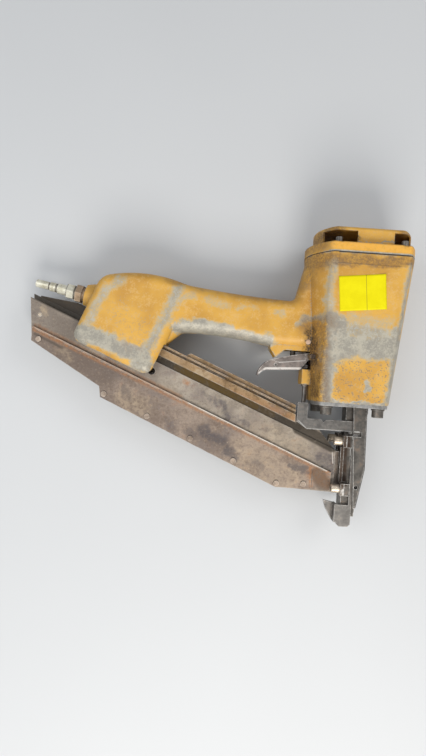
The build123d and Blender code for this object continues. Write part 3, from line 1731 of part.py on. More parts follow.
# Reducing bushing and air plug in the inlet
hex_corner = 1 / math.cos(math.pi / hex_sides)
bushing_face = bushing_neck_length + bushing_hex_length
with BuildPart() as air_bushing:
    with BuildSketch(inlet_plane.offset(-bushing_thread_length)):
        Circle(inlet_bore_radius - running_clearance)
    extrude(amount=bushing_thread_length + bushing_neck_length)
    with BuildSketch(inlet_plane.offset(bushing_neck_length)):
        RegularPolygon(bushing_hex / 2 * hex_corner, hex_sides)
    extrude(amount=bushing_hex_length)
    with BuildSketch(inlet_plane.offset(bushing_face)):
        Circle(plug_thread_radius + running_clearance)
    extrude(amount=-(bushing_face + bushing_thread_length), mode=Mode.SUBTRACT)
air_bushing.part.label = "air_bushing"
export_step(air_bushing.part, "parts/air_bushing.step")

with BuildPart() as air_plug:
    with BuildSketch(inlet_plane.offset(bushing_face - plug_thread_length)):
        Circle(plug_thread_radius)
    extrude(amount=plug_thread_length)
    with BuildSketch(inlet_plane.offset(bushing_face)):
        Circle(plug_collar)
    extrude(amount=plug_collar_length)
    plug_end = bushing_face + plug_collar_length
    with BuildSketch(inlet_plane.offset(plug_end)):
        RegularPolygon(plug_hex / 2 * hex_corner, hex_sides)
    extrude(amount=plug_hex_length)
    plug_end += plug_hex_length
    for step_radius, step_length in (plug_barrel, plug_groove, plug_middle, plug_neck, plug_tip):
        with BuildSketch(inlet_plane.offset(plug_end)):
            Circle(step_radius)
        extrude(amount=step_length)
        plug_end += step_length
    chamfer(air_plug.edges().sort_by(Axis(inlet_plane.origin, inlet_plane.z_dir))[-1], plug_chamfer)
    with BuildSketch(inlet_plane.offset(plug_end)):
        Circle(plug_bore_radius)
    extrude(amount=-(plug_end - bushing_face + plug_thread_length), mode=Mode.SUBTRACT)
air_plug.part.label = "air_plug"
export_step(air_plug.part, "parts/air_plug.step")
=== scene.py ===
import math

import bmesh
import bpy
from mathutils import Matrix, Vector


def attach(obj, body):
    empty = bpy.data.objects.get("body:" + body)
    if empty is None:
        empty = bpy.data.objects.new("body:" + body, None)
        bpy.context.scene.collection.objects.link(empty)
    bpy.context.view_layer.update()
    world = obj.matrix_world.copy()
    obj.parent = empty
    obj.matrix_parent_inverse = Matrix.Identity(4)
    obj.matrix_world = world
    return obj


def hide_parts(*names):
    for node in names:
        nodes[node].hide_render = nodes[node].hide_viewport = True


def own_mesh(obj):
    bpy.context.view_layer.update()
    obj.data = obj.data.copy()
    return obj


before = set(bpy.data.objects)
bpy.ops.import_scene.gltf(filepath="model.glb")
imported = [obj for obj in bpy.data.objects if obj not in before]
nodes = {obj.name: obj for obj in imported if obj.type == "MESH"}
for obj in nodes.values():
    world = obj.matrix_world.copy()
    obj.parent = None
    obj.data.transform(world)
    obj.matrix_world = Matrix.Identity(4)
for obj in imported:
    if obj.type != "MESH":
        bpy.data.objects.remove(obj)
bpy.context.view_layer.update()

MM = 0.001

# Colours, linear
PAINT = (0.655, 0.365, 0.058)
PAINT_DEEP = (0.51, 0.262, 0.038)
PAINT_PALE = (0.69, 0.43, 0.14)
PAINT_THIN = (0.50, 0.385, 0.20)
PAINT_FRESH = (0.80, 0.40, 0.045)
BARE = (0.446, 0.414, 0.335)
BARE_DARK = (0.294, 0.275, 0.233)
STAIN_AND_SHADE = (0.155, 0.085, 0.036)
GRIME_AND_SHADE = (0.032, 0.019, 0.010)
DEEP_SHADE = (0.027, 0.017, 0.006)
LINE_SHADE_COLOUR = (0.055, 0.032, 0.02)
REFLECTED_OLIVE = (0.13, 0.081, 0.024)
RUST = (0.36, 0.165, 0.065)
RUST_DARK = (0.10, 0.056, 0.030)
OIL = (0.085, 0.075, 0.08)
PLUM = (0.19, 0.155, 0.14)
DARKENING = (0.105, 0.08, 0.068)
TAN = (0.46, 0.355, 0.235)
POLISH_AND_HIGHLIGHT = (0.62, 0.57, 0.51)
LABEL_DEEP = (0.72, 0.625, 0.002)
LABEL_PALE = (0.77, 0.68, 0.004)
LABEL_INK = (0.30, 0.25, 0.02)
LABEL_FIBRE = (0.55, 0.45, 0.02)
FLOOR_DEEP = (0.56, 0.57, 0.58)
FLOOR_PALE = (0.60, 0.61, 0.62)

# The middle of a noise's values, its usual roughness, and the detail of waves
NOISE_MIDDLE = 0.5
NOISE_ROUGH = 0.55
WAVE_DETAIL = 3.0

# Fall of the cosine between two normals where an edge begins to be worn, and where it is fully worn
EDGE_WEAK, EDGE_STRONG = 0.004, 0.09
EDGE_SAMPLES = 6

# Open share round a place where painted corner shade begins, and where it is full
CORNER_OPEN, CORNER_CLOSED = 0.9, 0.35
CORNER_SAMPLES = 6

# The colour sockets among all those of the mix node
MIX_FIRST, MIX_SECOND, MIX_RESULT = 6, 7, 2


class Finish:
    """A node material in the tool's own frame, so that wear stays in its place in every pose."""

    def __init__(self, name):
        self.material = bpy.data.materials.new(name)
        self.material.use_nodes = True
        self.nodes = self.material.node_tree.nodes
        self.links = self.material.node_tree.links
        self.shader = self.nodes["Principled BSDF"]
        self.place = self.nodes.new("ShaderNodeTexCoord").outputs["Object"]
        self.flat = self.vector("MULTIPLY", self.place, (1, 1, 0)).outputs["Vector"]

    def put(self, socket, value):
        """Links a socket to another one, or sets its value."""
        if isinstance(value, bpy.types.NodeSocket):
            self.links.new(value, socket)
        else:
            socket.default_value = value

    def vector(self, operation, a, b):
        node = self.nodes.new("ShaderNodeVectorMath")
        node.operation = operation
        self.put(node.inputs[0], a)
        self.put(node.inputs[1], b)
        return node

    def math(self, operation, a, b):
        node = self.nodes.new("ShaderNodeMath")
        node.operation = operation
        self.put(node.inputs[0], a)
        self.put(node.inputs[1], b)
        return node.outputs[0]

    def plus(self, a, b):
        return self.math("ADD", a, b)

    def minus(self, a, b):
        return self.math("SUBTRACT", a, b)

    def times(self, a, b):
        return self.math("MULTIPLY", a, b)

    def most(self, *values):
        """The largest of the values."""
        top = values[0]
        for value in values[1:]:
            top = self.math("MAXIMUM", top, value)
        return top

    def noise(self, size, detail, rough=NOISE_ROUGH, squeeze=None):
        """Noise with blotches about this many metres across, divided by the squeeze along X, Y and Z."""
        where = self.place
        if squeeze:
            where = self.vector("MULTIPLY", where, squeeze).outputs["Vector"]
        node = self.nodes.new("ShaderNodeTexNoise")
        self.put(node.inputs["Vector"], where)
        node.inputs["Scale"].default_value = 1 / size
        node.inputs["Detail"].default_value = detail
        node.inputs["Roughness"].default_value = rough
        return node.outputs["Fac"]

    def noises(self, table):
        """The noises of a table, in its order."""
        return [self.noise(*values) for values in table.values()]

    def grain(self, *parts):
        """The sum of noises about zero: pairs of noise and weight."""
        total = None
        for noise, weight in parts:
            part = self.times(self.minus(noise, NOISE_MIDDLE), weight)
            total = part if total is None else self.plus(total, part)
        return total

    def wavy(self, waves):
        """The place in X and Y, pushed about by noise: pairs of blotch size and push, in metres."""
        where = self.place
        for size, push in waves:
            node = self.nodes.new("ShaderNodeTexNoise")
            self.put(node.inputs["Vector"], self.place)
            node.inputs["Scale"].default_value = 1 / size
            node.inputs["Detail"].default_value = WAVE_DETAIL
            shift = self.vector("SUBTRACT", node.outputs["Color"], (NOISE_MIDDLE,) * 3).outputs["Vector"]
            shift = self.vector("MULTIPLY", shift, (2 * push, 2 * push, 0)).outputs["Vector"]
            where = self.vector("ADD", where, shift).outputs["Vector"]
        return self.vector("MULTIPLY", where, (1, 1, 0)).outputs["Vector"]

    def fade(self, value, low, high, top=1.0):
        """0 at low and top at high, smooth between. Low may lie above high."""
        node = self.nodes.new("ShaderNodeMapRange")
        node.interpolation_type = "SMOOTHSTEP"
        self.put(node.inputs["Value"], value)
        node.inputs["From Min"].default_value = low
        node.inputs["From Max"].default_value = high
        node.inputs["To Max"].default_value = top
        return node.outputs["Result"]

    def blend(self, factor, a, b):
        """Colour a where the factor is 0 and colour b where it is 1."""
        node = self.nodes.new("ShaderNodeMix")
        node.data_type = "RGBA"
        self.put(node.inputs["Factor"], factor)
        for socket, colour in ((node.inputs[MIX_FIRST], a), (node.inputs[MIX_SECOND], b)):
            self.put(socket, (*colour, 1) if isinstance(colour, tuple) else colour)
        return node.outputs[MIX_RESULT]

    def between(self, factor, a, b):
        """Number a where the factor is 0 and number b where it is 1."""
        return self.plus(self.times(factor, b - a), a)

    def stroke(self, start, end, reach, soft, weight=1.0, where=None):
        """The weight within the reach of a line in X and Y, 0 past the soft border. Millimetres."""
        a = Vector((*start, 0)) * MM
        along = Vector((*end, 0)) * MM - a
        away = self.vector("SUBTRACT", where or self.flat, tuple(a)).outputs["Vector"]
        share = self.vector("DOT_PRODUCT", away, tuple(along / along.length_squared)).outputs["Value"]
        share = self.math("MINIMUM", self.most(share, 0.0), 1.0)
        foot = self.nodes.new("ShaderNodeVectorMath")
        foot.operation = "SCALE"
        foot.inputs[0].default_value = along
        self.put(foot.inputs["Scale"], share)
        gap = self.vector("DISTANCE", away, foot.outputs["Vector"]).outputs["Value"]
        return self.fade(gap, (reach + soft) * MM, reach * MM, weight)

    def strokes(self, lines, where=None):
        """The largest weight of several lines."""
        return self.most(*[self.stroke(*line, where=where) for line in lines])

    def edges(self, radius):
        """1 along sharp edges, from how far a rounded normal turns away from the face's own."""
        bevel = self.nodes.new("ShaderNodeBevel")
        bevel.samples = EDGE_SAMPLES
        bevel.inputs["Radius"].default_value = radius
        face = self.nodes.new("ShaderNodeNewGeometry").outputs["Normal"]
        turn = self.vector("DOT_PRODUCT", bevel.outputs["Normal"], face).outputs["Value"]
        return self.fade(turn, 1 - EDGE_WEAK, 1 - EDGE_STRONG)

    def corner_shade(self, distance):
        """1 in corners and gaps, from ambient occlusion: where shade is painted into the colour."""
        node = self.nodes.new("ShaderNodeAmbientOcclusion")
        node.samples = CORNER_SAMPLES
        node.inputs["Distance"].default_value = distance
        return self.fade(node.outputs["AO"], CORNER_OPEN, CORNER_CLOSED)

    def bump(self, height, distance, strength):
        node = self.nodes.new("ShaderNodeBump")
        node.inputs["Strength"].default_value = strength
        node.inputs["Distance"].default_value = distance
        self.put(node.inputs["Height"], height)
        self.links.new(node.outputs["Normal"], self.shader.inputs["Normal"])

    def close(self, colour, roughness, metallic):
        """Hands the colour, roughness and metal share to the shader."""
        self.put(self.shader.inputs["Base Color"], colour)
        self.put(self.shader.inputs["Roughness"], roughness)
        self.put(self.shader.inputs["Metallic"], metallic)
        return self.material


# Painted casting: noises by size, detail, roughness and squeeze; fades by start, end and top
CAST_WAVES = ((0.03, 0.010), (0.008, 0.005))
CAST_NOISE = {
    "broad": (0.05, 3),
    "patch": (0.014, 5, 0.6),
    "fine": (0.0045, 4, 0.65),
    "grit": (0.0019, 3, 0.6),
}
CAST_GRAIN = {"patch": 0.4, "fine": 0.75, "grit": 1.0}
CAST_FADE = {
    "full": (0.35, 0.65),
    "pale": (0.45, 0.85, 0.5),
    "fresh": (0.2, 0.6),
    "thinned": (0.06, 0.5, 0.75),
    "rubbed": (0.30, 0.85),
    "chipped": (0.38, 0.62, 0.9),
    "flecks": (0.82, 0.96),
    "light metal": (0.3, 0.75),
    "rusty areas": (0.5, 0.8, 0.35),
    "rust grain": (0.4, 0.7),
    "stain and shade grain": (-0.5, 0.25),
    "shade grain": (-0.35, 0.15),
}
CAST_SHARE = {
    "grain in thin paint": 0.5,
    "fine noise in flecks": 0.6,
    "specks all over": 0.14,
    "specks on bare metal": 0.15,
    "bare in specks": 0.7,
    "rust in specks": 0.8,
    "shade in corners": 0.75,
    "dullness of stain and shade": 0.6,
    "metal where bare": 0.22,
}
CAST_CORNER = 0.012
CAST_ROUGH = {"paint": 0.42, "bare": 0.46, "grit": 0.16, "dull": 0.3}
CAST_RELIEF = {"fine": 0.5, "grit": 0.35, "bare": 0.4, "patch": 0.8}
CAST_BUMP = (0.0004, 0.5)
CAST_EDGE = 0.003
CAP_EDGE = 0.0022


def casting(name, worn, specked, stains_and_shade, grime_and_shade_lines, edge_radius=CAST_EDGE, fresh=(), lined=()):
    """Mustard paint on a light alloy casting. Along the lines it is rubbed thin and bare, chipped into
    specks, stained brown, darkened with grime and painted shade, still fresh, or worn to a sharp bright line.
    Some brown lines and the corners hold painted shade."""
    coat = Finish(name)
    fade, share, relief = CAST_FADE, CAST_SHARE, CAST_RELIEF
    uneven = coat.wavy(CAST_WAVES)
    broad, patch, fine, grit = coat.noises(CAST_NOISE)
    texture = coat.grain((patch, CAST_GRAIN["patch"]), (fine, CAST_GRAIN["fine"]), (grit, CAST_GRAIN["grit"]))
    mottle = coat.plus(patch, texture)
    paint = coat.blend(coat.fade(broad, *fade["full"]), PAINT_DEEP, PAINT)
    paint = coat.blend(coat.fade(mottle, *fade["pale"]), paint, PAINT_PALE)
    if fresh:
        unworn = coat.times(coat.strokes(fresh), coat.fade(fine, *fade["fresh"]))
        paint = coat.blend(unworn, paint, PAINT_FRESH)
    gone = coat.strokes(worn, uneven)
    if lined:
        gone = coat.most(gone, coat.strokes(lined))
    thinned = coat.fade(coat.plus(gone, coat.times(texture, share["grain in thin paint"])), *fade["thinned"])
    rubbed = coat.fade(coat.plus(gone, texture), *fade["rubbed"])
    chipped = coat.times(coat.edges(edge_radius), coat.fade(mottle, *fade["chipped"]))
    flecks = coat.fade(coat.plus(grit, coat.times(fine, share["fine noise in flecks"])), *fade["flecks"])
    specks = coat.times(flecks, coat.most(coat.strokes(specked, uneven), share["specks all over"]))
    specks = coat.times(specks, coat.between(rubbed, 1.0, share["specks on bare metal"]))
    bare = coat.most(rubbed, chipped, coat.times(specks, share["bare in specks"]))
    metal = coat.blend(coat.fade(mottle, *fade["light metal"]), BARE_DARK, BARE)
    metal = coat.blend(coat.times(specks, share["rust in specks"]), metal, RUST_DARK)
    colour = coat.blend(bare, coat.blend(thinned, paint, PAINT_THIN), metal)
    rusty = coat.times(coat.fade(broad, *fade["rusty areas"]), coat.fade(fine, *fade["rust grain"]))
    colour = coat.blend(rusty, colour, RUST)
    # Painted shade in corners and gaps, in the brown stain colour
    corner_shading = coat.times(coat.corner_shade(CAST_CORNER), share["shade in corners"])
    brown = coat.most(coat.strokes(stains_and_shade, uneven), corner_shading)
    brown = coat.times(brown, coat.fade(texture, *fade["stain and shade grain"]))
    colour = coat.blend(brown, colour, STAIN_AND_SHADE)
    # Near black along the grime and shade lines: grime together with painted shade
    grimed_and_shaded = coat.times(coat.strokes(grime_and_shade_lines, uneven), coat.fade(texture, *fade["shade grain"]))
    colour = coat.blend(grimed_and_shaded, colour, GRIME_AND_SHADE)
    dull = coat.most(coat.times(brown, share["dullness of stain and shade"]), grimed_and_shaded)
    rough = coat.between(bare, CAST_ROUGH["paint"], CAST_ROUGH["bare"])
    rough = coat.plus(rough, coat.times(grit, CAST_ROUGH["grit"]))
    rough = coat.plus(rough, coat.times(dull, CAST_ROUGH["dull"]))
    metallic = coat.times(coat.times(bare, share["metal where bare"]), coat.minus(1.0, dull))
    height = coat.plus(coat.times(fine, relief["fine"]), coat.times(grit, relief["grit"]))
    height = coat.minus(height, coat.times(bare, relief["bare"]))
    coat.bump(coat.plus(height, coat.times(patch, relief["patch"])), *CAST_BUMP)
    return coat.close(colour, rough, metallic)


# Old sheet steel, in the same terms
SHEET_WAVES = ((0.03, 0.012), (0.008, 0.007))
SHEET_NOISE = {
    "broad": (0.045, 4, 0.6),
    "drift": (0.027, 3, 0.6, (1, 1, 2)),
    "patch": (0.011, 5, 0.62),
    "fine": (0.0035, 4, 0.65),
    "grit": (0.0009, 3, 0.6),
    "fleck": (0.0026, 3, 0.7),
}
SHEET_GRAIN = {"patch": 0.8, "fine": 0.8}
SHEET_FADE = {
    "light": (0.25, 0.75),
    "plum": (0.46, 0.72, 0.65),
    "darkening grain": (-0.7, 0.3),
    "pale grain": (-0.3, 0.3),
    "oil": (0.35, 1.15, 0.8),
    "rusty areas": (0.55, 0.8),
    "rust grain": (0.45, 0.8),
    "dark grit": (0.58, 0.75, 0.5),
    "dark flecks": (0.55, 0.72, 0.45),
    "tan flecks": (0.45, 0.28, 0.35),
    "worn edges": (0.35, 0.6, 0.6),
    "highlight grain": (-0.4, 0.05),
    "shaded corners": (0.3, 0.65, 0.85),
    "shade grain": (-0.6, 0.0),
    "reflection grain": (-0.55, 0.15),
}
SHEET_SHARE = {
    "grain in plum": 0.6,
    "rust on its lines": 0.8,
    "grit in rust": 0.4,
    "most rust": 0.9,
    "metal where clean": 0.5,
    "metal lost to shade": 0.45,
    "metal in reflection": 0.9,
}
SHEET_EDGE = 0.0014
SHEET_CORNER = 0.010
SHEET_ROUGH = {"clean": 0.42, "rusty": 0.7, "grit": 0.15}
SHEET_RELIEF = {"grit": 0.6}
SHEET_BUMP = (0.00025, 0.45)
SHEET_RUST = 0.3


def sheet_steel(name, dark, light, marks, rust=SHEET_RUST, reflection_lines=()):
    """Old bare sheet steel: mottled brown and grey, with dark, rusted, oily, pale and bright places on the
    marks' lines, painted highlights on the bright lines, painted shade in the corners and on the deep lines,
    and a painted reflection of the yellow grip, olive and shiny, on the reflection lines."""
    coat = Finish(name)
    fade, share = SHEET_FADE, SHEET_SHARE
    uneven = coat.wavy(SHEET_WAVES)
    broad, drift, patch, fine, grit, fleck = coat.noises(SHEET_NOISE)
    texture = coat.grain((patch, SHEET_GRAIN["patch"]), (fine, SHEET_GRAIN["fine"]))
    colour = coat.blend(coat.fade(coat.plus(broad, texture), *fade["light"]), dark, light)
    plum = coat.fade(coat.plus(drift, coat.times(texture, share["grain in plum"])), *fade["plum"])
    colour = coat.blend(plum, colour, PLUM)
    # Darker along the dark lines; on the channel and rails they paint the air plug's shadow
    darkened = coat.times(coat.strokes(marks["dark"], uneven), coat.fade(texture, *fade["darkening grain"]))
    colour = coat.blend(darkened, colour, DARKENING)
    pale = coat.times(coat.strokes(marks["pale"], uneven), coat.fade(texture, *fade["pale grain"]))
    colour = coat.blend(pale, colour, TAN)
    oily = coat.fade(coat.plus(coat.strokes(marks["oily"], uneven), texture), *fade["oil"])
    colour = coat.blend(oily, colour, OIL)
    rusty = coat.times(coat.strokes(marks["rusted"]), share["rust on its lines"])
    rusty = coat.plus(rusty, coat.fade(patch, *fade["rusty areas"], rust))
    speckle = coat.plus(fine, coat.times(grit, share["grit in rust"]))
    rusty = coat.times(rusty, coat.fade(speckle, *fade["rust grain"]))
    colour = coat.blend(coat.math("MINIMUM", rusty, share["most rust"]), colour, RUST)
    colour = coat.blend(coat.fade(grit, *fade["dark grit"]), colour, RUST_DARK)
    colour = coat.blend(coat.fade(fleck, *fade["dark flecks"]), colour, RUST_DARK)
    colour = coat.blend(coat.fade(fleck, *fade["tan flecks"]), colour, TAN)
    bright = coat.times(coat.edges(SHEET_EDGE), coat.fade(patch, *fade["worn edges"]))
    # Painted highlights along the bright lines, on lit edges
    highlight = coat.times(coat.strokes(marks["bright"]), coat.fade(texture, *fade["highlight grain"]))
    bright = coat.most(bright, highlight)
    colour = coat.blend(bright, colour, POLISH_AND_HIGHLIGHT)
    # Painted shade, near black, in corners and gaps and along the deep lines
    shade = coat.times(coat.corner_shade(SHEET_CORNER), coat.fade(patch, *fade["shaded corners"]))
    shade = coat.most(shade, coat.times(coat.strokes(marks["deep"]), coat.fade(texture, *fade["shade grain"])))
    colour = coat.blend(shade, colour, DEEP_SHADE)
    rough = coat.between(rusty, SHEET_ROUGH["clean"], SHEET_ROUGH["rusty"])
    rough = coat.plus(rough, coat.times(grit, SHEET_ROUGH["grit"]))
    metallic = coat.times(coat.most(rusty, shade), share["metal lost to shade"])
    metallic = coat.minus(share["metal where clean"], metallic)
    # A painted reflection of the yellow grip, olive and shiny, on the shaded strip along the reflection lines
    if reflection_lines:
        reflection = coat.times(coat.strokes(reflection_lines), coat.fade(texture, *fade["reflection grain"]))
        colour = coat.blend(reflection, colour, REFLECTED_OLIVE)
        metallic = coat.most(metallic, coat.times(reflection, share["metal in reflection"]))
    coat.bump(coat.plus(fine, coat.times(grit, SHEET_RELIEF["grit"])), *SHEET_BUMP)
    return coat.close(colour, rough, metallic)


# Machined or forged steel, in the same terms
STEEL_NOISE = {"patch": (0.009, 4, 0.6), "fine": (0.0026, 4, 0.65), "grit": (0.0007, 2, 0.6)}
STEEL_FADE = {
    "light": (0.5, 1.0),
    "rusty areas": (0.48, 0.72),
    "rust grain": (0.4, 0.6),
    "worn edges": (0.75, 1.15, 0.85),
    "shade patchiness": (0.15, 0.55),
    "highlight grain": (0.25, 0.5),
    "shaded corners": (0.35, 0.6),
}
STEEL_LIGHT_FINE = 0.5
STEEL_CORNER = 0.007
STEEL_SHADE_DEPTH = 0.7
STEEL_ROUGH = {"clean": 0.36, "grit": 0.14, "shade": 0.3}
STEEL_METAL = {"clean": 0.75, "shaded": 0.15}
STEEL_BROWN = 0.25
STEEL_RELIEF = {"grit": 0.5}
STEEL_BUMP = (0.00015, 0.35)
STEEL_EDGE = 0.0014
TRIGGER_EDGE = 0.0018
SMALL_EDGE = 0.0008
WIRE_EDGE = 0.0004


def machined(
    name,
    dark,
    light,
    worn,
    rough=STEEL_ROUGH["clean"],
    metallic=STEEL_METAL["clean"],
    edge=STEEL_EDGE,
    brown=STEEL_BROWN,
    rubbed=(),
    shade_lines=(),
):
    """Machined or forged steel: mottled, with bright worn edges, bright rubbed lines of painted highlight and
    rubbed metal, dark lines of painted shade, and painted shade in the corners."""
    coat = Finish(name)
    fade = STEEL_FADE
    patch, fine, grit = coat.noises(STEEL_NOISE)
    mottle = coat.plus(patch, coat.times(fine, STEEL_LIGHT_FINE))
    colour = coat.blend(coat.fade(mottle, *fade["light"]), dark, light)
    rusty = coat.times(coat.fade(patch, *fade["rusty areas"], brown), coat.fade(fine, *fade["rust grain"]))
    colour = coat.blend(rusty, colour, RUST)
    bright = coat.times(coat.edges(edge), coat.fade(coat.plus(fine, patch), *fade["worn edges"]))
    # Painted shade along the shade lines: the nose's concave channel and the air plug's grooves and tip
    if shade_lines:
        line_shade = coat.times(coat.strokes(shade_lines), coat.fade(patch, *fade["shade patchiness"]))
        colour = coat.blend(line_shade, colour, LINE_SHADE_COLOUR)
    # Painted highlights along lit edges, with rubbed metal, on the rubbed lines
    if rubbed:
        bright = coat.most(bright, coat.times(coat.strokes(rubbed), coat.fade(fine, *fade["highlight grain"])))
    colour = coat.blend(bright, colour, worn)
    # Painted shade, near black, in corners and gaps
    shade = coat.times(coat.corner_shade(STEEL_CORNER), coat.fade(fine, *fade["shaded corners"], STEEL_SHADE_DEPTH))
    colour = coat.blend(shade, colour, GRIME_AND_SHADE)
    roughness = coat.plus(rough, coat.times(grit, STEEL_ROUGH["grit"]))
    roughness = coat.plus(roughness, coat.times(shade, STEEL_ROUGH["shade"]))
    coat.bump(coat.plus(fine, coat.times(grit, STEEL_RELIEF["grit"])), *STEEL_BUMP)
    return coat.close(colour, roughness, coat.between(shade, metallic, STEEL_METAL["shaded"]))


# Rubber and plastic, in the same terms
MOULD_NOISE = {"patch": (0.008, 4, 0.6), "grit": (0.0006, 2, 0.6)}
MOULD_LIGHT = (0.35, 0.7)
MOULD_GRIT_ROUGH = 0.12
MOULD_BUMP = (0.0001, 0.4)


def moulded(name, dark, light, rough):
    """Rubber or plastic: a slightly mottled colour with a fine grain."""
    coat = Finish(name)
    patch, grit = coat.noises(MOULD_NOISE)
    colour = coat.blend(coat.fade(patch, *MOULD_LIGHT), dark, light)
    coat.bump(grit, *MOULD_BUMP)
    return coat.close(colour, coat.plus(rough, coat.times(grit, MOULD_GRIT_ROUGH)), 0.0)


# Wear on the casting: lines in X and Y with their reach and soft border, in millimetres, and their weight
WORN = [
    ((-28, 192), (36, 194), 5, 14),
    ((-31, 216), (-29, 188), 5, 14),
    ((-30, 214), (20, 205), 3, 16, 0.75),
    ((34, 208), (38, 195), 2, 12, 0.9),
    ((-17, 226), (25, 221), 1, 12, 0.45),
    ((-41, 286), (-38, 228), 1, 9, 0.6),
    ((-38, 224), (-36, 184), 2, 9, 0.95),
    ((-36, 184), (-36, 136), 2, 8, 0.95),
    ((44, 284), (42, 246), 0, 8, 0.7),
    ((42, 246), (31, 138), 1, 8, 0.85),
    ((-32, 132), (28, 132), 0.3, 3, 0.9),
    ((4.5, 153), (5, 143), 0.8, 4, 0.85),
    ((-206, 206), (-150, 202), 4, 8),
    ((-150, 202), (-102, 196), 4, 8),
    ((-313, 193), (-279, 181), 4, 10),
    ((-279, 181), (-241, 167), 4, 10),
    ((-319, 188), (-310, 184), 3, 8),
    ((-249, 158), (-239, 155), 3, 8, 0.9),
    ((-273, 253), (-291, 241), 0, 11, 0.6),
    ((-291, 240), (-300, 216), 0, 11, 0.62),
    ((-300, 216), (-314, 193), 0, 11, 0.62),
    ((-210, 246), (-215, 228), 1, 13, 0.72),
    ((-216, 226), (-230, 195), 1, 12, 0.68),
    ((-231, 193), (-240, 172), 1, 12, 0.75),
    ((-205, 234), (-192, 238), 0, 10, 0.5),
    ((-176, 238), (-150, 235), 0, 10, 0.42),
    ((-138, 231), (-120, 233), 0, 10, 0.36),
    ((-98, 231), (-88, 229), 0, 8, 0.42),
    ((-70, 219), (-42, 226), 0, 8, 0.7),
]
SPECKED = [
    ((-24, 170), (26, 172), 12, 10),
    ((-24, 148), (24, 148), 12, 10),
    ((-305, 186), (-240, 170), 6, 18, 0.8),
    ((-270, 215), (-240, 200), 8, 18, 0.5),
]
STAINED = [
    ((-62, 217), (-40, 220), 2, 12, 0.7),
    ((-48, 212), (-43, 136), 4, 9, 0.78),
    ((-60, 289), (46, 289), 4, 6, 0.8),
    ((-68, 288), (-50, 286), 4, 12, 0.8),
    ((-60, 276), (-66, 260), 1, 12, 0.6),
    ((-318, 224), (-306, 246), 1, 8, 0.3),
    ((-222, 258), (-90, 246), 1, 7, 0.5),
]
# Grime and painted shade in the pocket at the body's rear edge
POCKET_GRIME_AND_SHADE = [
    ((-57, 207), (-53, 194), 2, 7, 0.9),
    ((-54, 190), (-51, 172), 2, 6, 0.9),
    ((-50, 170), (-48, 140), 1, 5, 0.6),
]
CAP_WORN = [((-20, 309), (40, 309), 0.2, 1.4, 0.8)]
CAP_LINED = [((-46, 296.4), (56, 296.4), 0.5, 0.9, 0.95)]
CAP_FRESH = [((-40, 303), (52, 303), 3, 5, 0.9)]
# Brown stains on the cap, and painted shade at the deflector's left end
CAP_STAINS_AND_SHADE = [
    ((-66, 300), (-52, 304), 2, 9, 0.7),
    ((-56, 314), (-36, 324), 4, 8, 0.85),
    ((36, 318), (50, 316), 2, 7, 0.7),
]
# Painted shade inside the cap's deflector
CAP_SHADE = [((-40, 312), (-18, 313), 3, 4, 0.9), ((34, 312), (46, 312), 3, 4, 0.9)]

# Marks on the magazine, as lines of the same kind. The deep lines are painted shade and the bright lines
# painted highlights.
COVER_MARKS = {
    "dark": [((-372, 184), (-300, 148), 8, 40, 0.62), ((-178, 86), (-146, 70), 2, 18, 0.5)],
    "pale": [
        ((-343, 168), (-334, 162), 1, 8, 0.5),
        ((-262, 116), (-246, 110), 4, 16, 0.6),
        ((-120, 62), (-70, 42), 6, 22, 0.55),
    ],
    "oily": [
        ((-171, 90), (-148, 82), 2, 13),
        ((-145, 68), (-130, 60), 2, 11),
        ((-64, 54), (-46, 49), 2, 9, 0.9),
        ((-264, 126), (-258, 119), 1, 9, 0.75),
        ((-214, 91), (-206, 85), 1, 10, 0.7),
        ((-190, 88), (-181, 81), 1, 9, 0.75),
        ((-108, 54), (-98, 49), 1, 8, 0.7),
        ((-236, 118), (-229, 112), 0.5, 7, 0.6),
    ],
    "rusted": [
        ((-372, 192), (-22, 49), 1.5, 4),
        ((-44, 54), (-42, 32), 0.5, 3),
        ((-40, 46), (-24, 38), 4, 8, 0.7),
    ],
    "deep": [((-372, 186), (-340, 172), 0.5, 2, 0.5), ((-35, 46), (-27, 34), 6, 5, 0.5)],
    "bright": [((-189.6, 118.6), (-25, 51), 0.5, 0.4), ((-372, 193.4), (-189.6, 118.6), 0.5, 0.6, 0.4)],
}
# On the channel, the dark line and the last deep line paint the air plug's shadow, the other deep lines paint
# shade in the recess under the rails
CHANNEL_MARKS = {
    "dark": [((-376, 214), (-330, 190), 10, 20, 0.7)],
    "pale": [
        ((-367, 212), (-364, 210), 1, 7, 0.9),
        ((-240, 128), (-215, 124), 3, 14, 0.5),
        ((-110, 92), (-60, 72), 5, 18, 0.5),
    ],
    "oily": [
        ((-148, 118), (-139, 108), 1, 11, 0.9),
        ((-30, 66), (-20, 57), 4, 9, 0.9),
        ((-158, 123), (-152, 118), 1, 9, 0.75),
        ((-168, 129), (-164, 126), 1, 8, 0.7),
        ((-122, 103), (-116, 99), 1, 9, 0.75),
        ((-100, 92), (-94, 88), 1, 8, 0.65),
    ],
    "rusted": [((-372, 195), (-200, 124), 1, 4, 0.7), ((-196, 143), (-192, 141), 0.5, 4)],
    "deep": [
        ((-300, 196.5), (-60, 98), 3.2, 1.2, 0.96),
        ((-60, 98), (-20, 80), 6, 3, 0.9),
        ((-378, 231), (-318, 206), 3, 2, 0.85),
    ],
    "bright": [((-20, 78), (-18, 60), 0.4, 0.5, 0.7)],
}
# Lines along the channel's shaded strip that get a painted olive reflection of the yellow grip
CHANNEL_GRIP_REFLECTION = [
    ((-206, 158), (-198, 154.7), 3.4, 1.2, 0.45),
    ((-198, 154.7), (-140, 131), 3.4, 1.2, 0.8),
    ((-140, 131), (-112, 119.4), 3.4, 1.2, 0.65),
    ((-112, 119.4), (-92, 111.2), 3.4, 1.2, 0.35),
]
